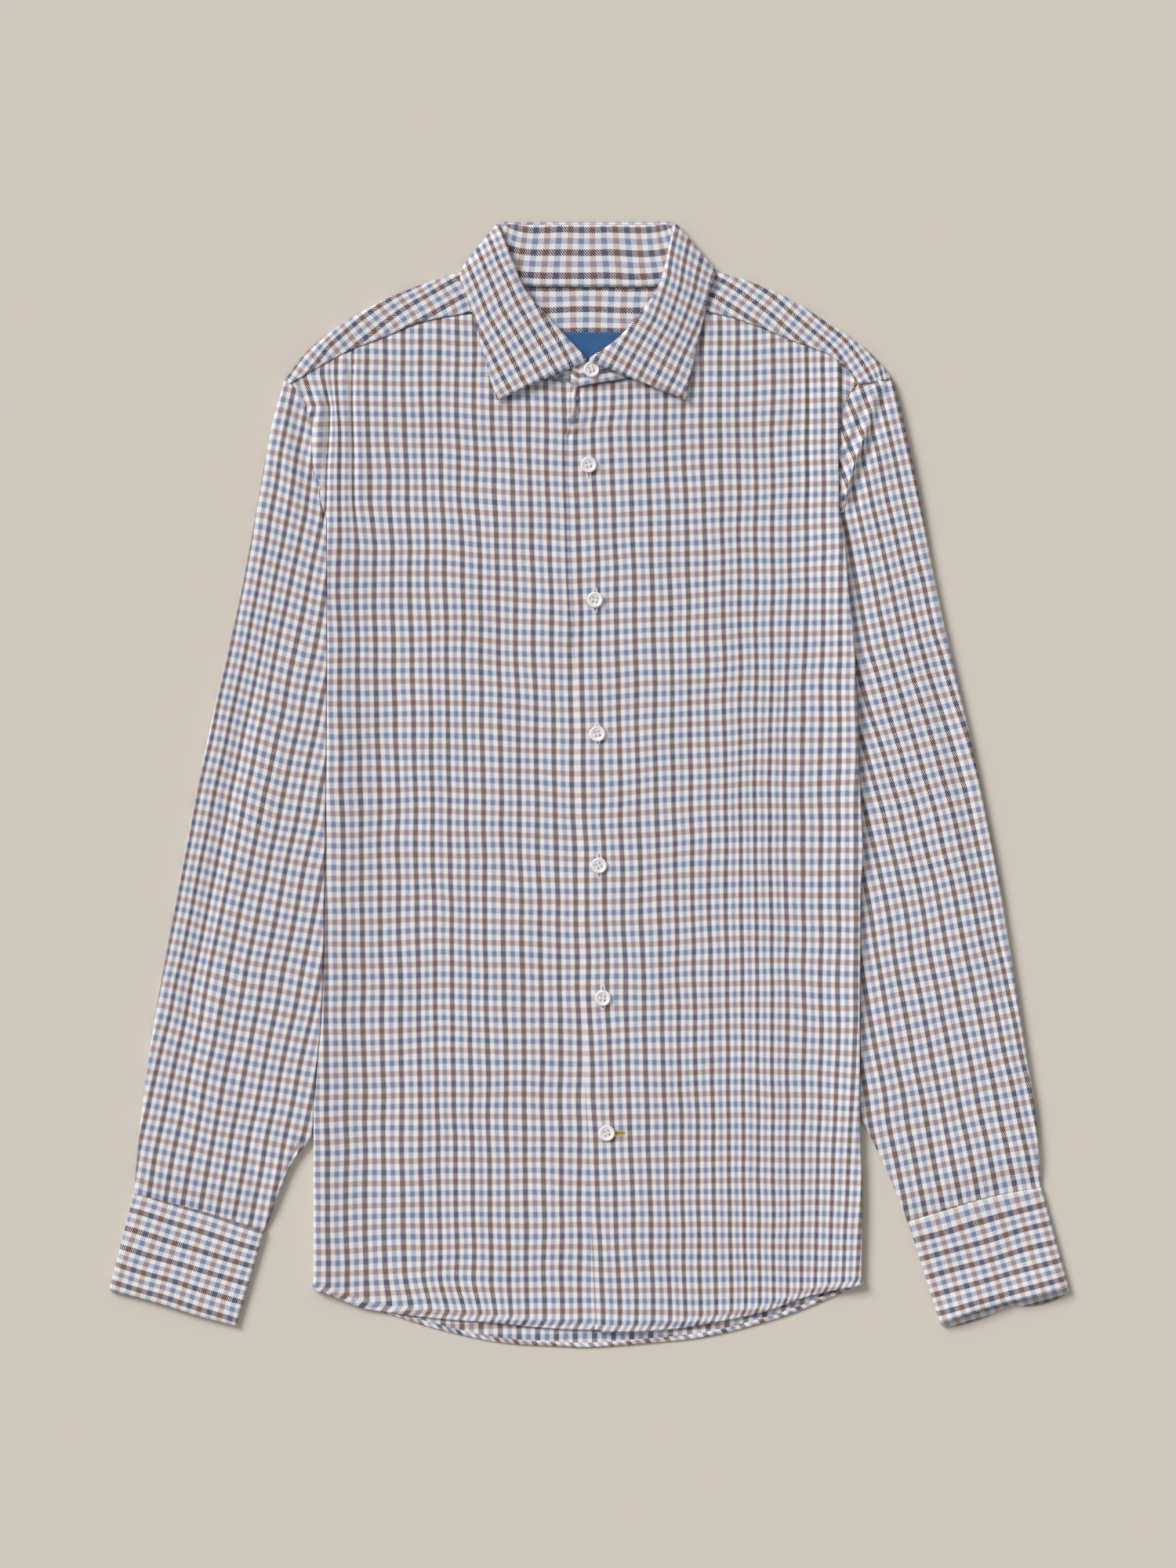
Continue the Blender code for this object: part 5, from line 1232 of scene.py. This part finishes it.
def pearl_material():
    """Pinkish shell with clouds in it, polished."""
    made, shader, node, math_of = new_material(
        "button_pearl", Roughness=0.22, Specular_IOR_Level=0.55, Coat_Weight=0.35, Coat_Roughness=0.12,
        Subsurface_Weight=0.25, Subsurface_Radius=(0.003, 0.002, 0.0015), Subsurface_Scale=1.0)
    place = node("TexCoord").outputs["Object"]
    cloud = node("TexNoise", {
        "Vector": place, "Scale": CLOUD_SCALE, "Detail": 3.0, "Distortion": 1.4}).outputs[0]
    tone = node("ValToRGB", {"Fac": cloud})
    tone.color_ramp.elements[0].position, tone.color_ramp.elements[1].position = 0.35, 0.7
    tone.color_ramp.elements[0].color = linear(226, 216, 219)
    tone.color_ramp.elements[1].color = linear(243, 238, 240)
    made.node_tree.links.new(tone.outputs[0], shader.inputs["Base Color"])
    return made


def lathed(name, section, steps, finish):
    """A mesh turned round the Z axis from rows of radius and height, the first and last of them on it."""
    angles = np.linspace(0, 2 * math.pi, steps, endpoint=False)
    inner = np.array(section[1:-1], float)
    rings = np.stack([inner[:, :1] * np.cos(angles), inner[:, :1] * np.sin(angles),
                      np.broadcast_to(inner[:, 1:], (len(inner), steps))], -1).reshape(-1, 3)
    points = np.vstack([rings, (0, 0, section[0][1]), (0, 0, section[-1][1])]) * MM
    face, foot = len(rings), len(rings) + 1
    faces = [(face, i, (i + 1) % steps) for i in range(steps)]
    for r in range(len(inner) - 1):
        a = r * steps
        for i in range(steps):
            j = (i + 1) % steps
            faces.append((a + i, a + steps + i, a + steps + j, a + j))
    a = (len(inner) - 1) * steps
    faces += [(foot, a + (i + 1) % steps, a + i) for i in range(steps)]
    mesh = bpy.data.meshes.new(name)
    mesh.from_pydata(points.tolist(), [], faces)
    mesh.materials.append(finish)
    made = bpy.data.objects.new(name, mesh)
    bpy.context.scene.collection.objects.link(made)
    return made


turned_button = lathed("button_blank", BUTTON_SECTION, BUTTON_STEPS, pearl_material())
drills = []
for sx in (-1, 1):
    for sy in (-1, 1):
        bpy.ops.mesh.primitive_cylinder_add(
            vertices=DRILL_SIDES, radius=HOLE_RADIUS * MM, depth=DRILL_LENGTH * MM,
            location=(sx * HOLE_PLACE * MM, sy * HOLE_PLACE * MM, 0))
        drill = bpy.context.object
        cut = turned_button.modifiers.new("Hole", "BOOLEAN")
        cut.operation, cut.object = "DIFFERENCE", drill
        drills.append(drill)
button_mesh = applied(turned_button)
for unwanted in [turned_button, *drills]:
    bpy.data.objects.remove(unwanted)
button_mesh.shade_smooth()
button_mesh.set_sharp_from_angle(angle=math.radians(SHARP_ANGLE))
for name, x, y, z, turn, *reach in BUTTONS:
    mesh = button_mesh.copy()
    placed = Matrix.Translation((x * MM, y * MM, (z + SEAM_GAP) * MM))
    mesh.transform(placed @ Matrix.Rotation(math.radians(turn), 4, "Z"))
    piece = bpy.data.objects.new(name + "_pearl", mesh)
    bpy.context.scene.collection.objects.link(piece)
    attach(piece, "root")
    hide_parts(name)


def turned_line(line, x, y, degrees):
    """A line of points turned about the upright through its origin, and set down at a place."""
    a = math.radians(degrees)
    px, py, pz = np.array(line, float).T
    return np.stack([x + px * math.cos(a) - py * math.sin(a),
                     y + px * math.sin(a) + py * math.cos(a), pz], -1)


def on_front(line):
    """A plan line laid on the left front."""
    x, y = np.array(line, float).T
    return np.stack([x, y, front_height(x, y, left_flat(x))], -1)


def button_strands(buttons, spread):
    """The lines along which threads are laid side by side from hole to hole, two on each button."""
    lines = []
    for name, x, y, z, turn, *reach in buttons:
        for side in (-1, 1):
            across = [(side * HOLE_PLACE + t, 0, z + SEAM_GAP + BUTTON_TOP) for t in (-spread, spread)]
            lines.append(turned_line(across, x, y, turn))
    return lines


white_thread = thread_material("thread_white", 248, 244, 243)
stitched("button_threads", button_strands(BUTTONS[1:], THREAD_SPREAD), pitch=0.25,
         length=2 * HOLE_PLACE + 0.5, thickness=0.34, turn=90, thread=white_thread)
stitched("button_collar_threads", button_strands(BUTTONS[:1], COLLAR_SPREAD), pitch=0.25,
         length=2 * HOLE_PLACE + 1.5, thickness=0.36, turn=90,
         thread=thread_material("thread_pink", 236, 224, 220))


def buttonhole(start, end):
    """Oval line round a buttonhole, and the line of its slit."""
    turns = np.radians(np.arange(-90, 91, 15))
    half = BUTTONHOLE_HALF
    ring = [(end - half + half * math.cos(a), half * math.sin(a)) for a in turns]
    ring += [(start + half - half * math.cos(a), -half * math.sin(a)) for a in turns]
    return np.array(ring + ring[:1]), np.array([(start + half, 0), (end - half, 0)])


rings, slit_shade_lines = [], []
for name, x, y, z, turn, *reach in BUTTONS[:-1]:
    ring, slit = (line[:, ::-1] + (x, y) for line in buttonhole(*reach))
    if name == "button_collar":
        rings.append(np.column_stack([ring, np.full(len(ring), STAND_FACE)]))
    else:
        rings.append(on_front(ring))
        slit_shade_lines.append(on_front(slit))
ring, slit = (line + BUTTONS[-1][1:3] for line in buttonhole(*BUTTONS[-1][5:]))
slit_shade_lines.append(on_front(slit))
bars = {"pitch": 0.4, "length": 1.8, "thickness": 0.5, "turn": 90}
stitched("buttonhole_stitches", rings, thread=white_thread, **bars)
stitched("buttonhole_6_stitches", [on_front(ring)], thread=thread_material("thread_yellow", 222, 192, 84),
         **bars)
# The dark thread along each buttonhole's slit is painted shade: it stands in for the shade inside the cut,
# not for a thread of that colour.
stitched("buttonhole_slit_shade", slit_shade_lines, pitch=0.3, length=0.7, thickness=0.5,
         thread=thread_material("thread_shadow", 58, 50, 52))

# ---------------------------------------------------------------------------------------------------------
# The floor, the light and the camera: a plain warm-grey table, a soft light from the upper left with an
# even fill, and a long lens straight above.
# ---------------------------------------------------------------------------------------------------------
FLOOR_HALF = 3.0  # metres
FILL, WINDOW, WINDOW_SPREAD, WINDOW_TILT = 0.44, 3.1, 26, (-32, -47, 0)  # strengths, then degrees
VIEW_HEIGHT, VIEW_X, CLOTH_TOP = 1100 * MM, -0.55 * MM, 4 * MM
LENS, SENSOR = 100.0, 36.0

corners = ((-1, -1), (1, -1), (1, 1), (-1, 1))
floor_mesh = bpy.data.meshes.new("floor")
floor_mesh.from_pydata([(x * FLOOR_HALF, y * FLOOR_HALF, 0) for x, y in corners], [], [(0, 1, 2, 3)])
floor = bpy.data.objects.new("floor", floor_mesh)
bpy.context.scene.collection.objects.link(floor)
floor_paint = new_material("floor_paint", Base_Color=linear(207, 199, 188), Roughness=0.95,
                           Specular_IOR_Level=0.1)[0]
floor_mesh.materials.append(floor_paint)

world = bpy.data.worlds.new("studio")
world.use_nodes = True
world.node_tree.nodes["Background"].inputs["Color"].default_value = (1, 1, 1, 1)
world.node_tree.nodes["Background"].inputs["Strength"].default_value = FILL
bpy.context.scene.world = world
sun_data = bpy.data.lights.new("window", "SUN")
sun_data.energy = WINDOW
sun_data.angle = math.radians(WINDOW_SPREAD)
sun = bpy.data.objects.new("window", sun_data)
sun.rotation_euler = [math.radians(tilt) for tilt in WINDOW_TILT]
bpy.context.scene.collection.objects.link(sun)

camera_data = bpy.data.cameras.new("camera")
camera_data.lens, camera_data.sensor_width = LENS, SENSOR
camera = bpy.data.objects.new("camera", camera_data)
camera.location = (VIEW_X, 0, VIEW_HEIGHT * LENS / SENSOR + CLOTH_TOP)
bpy.context.scene.collection.objects.link(camera)
bpy.context.scene.camera = camera
bpy.context.scene.view_settings.view_transform = "Standard"
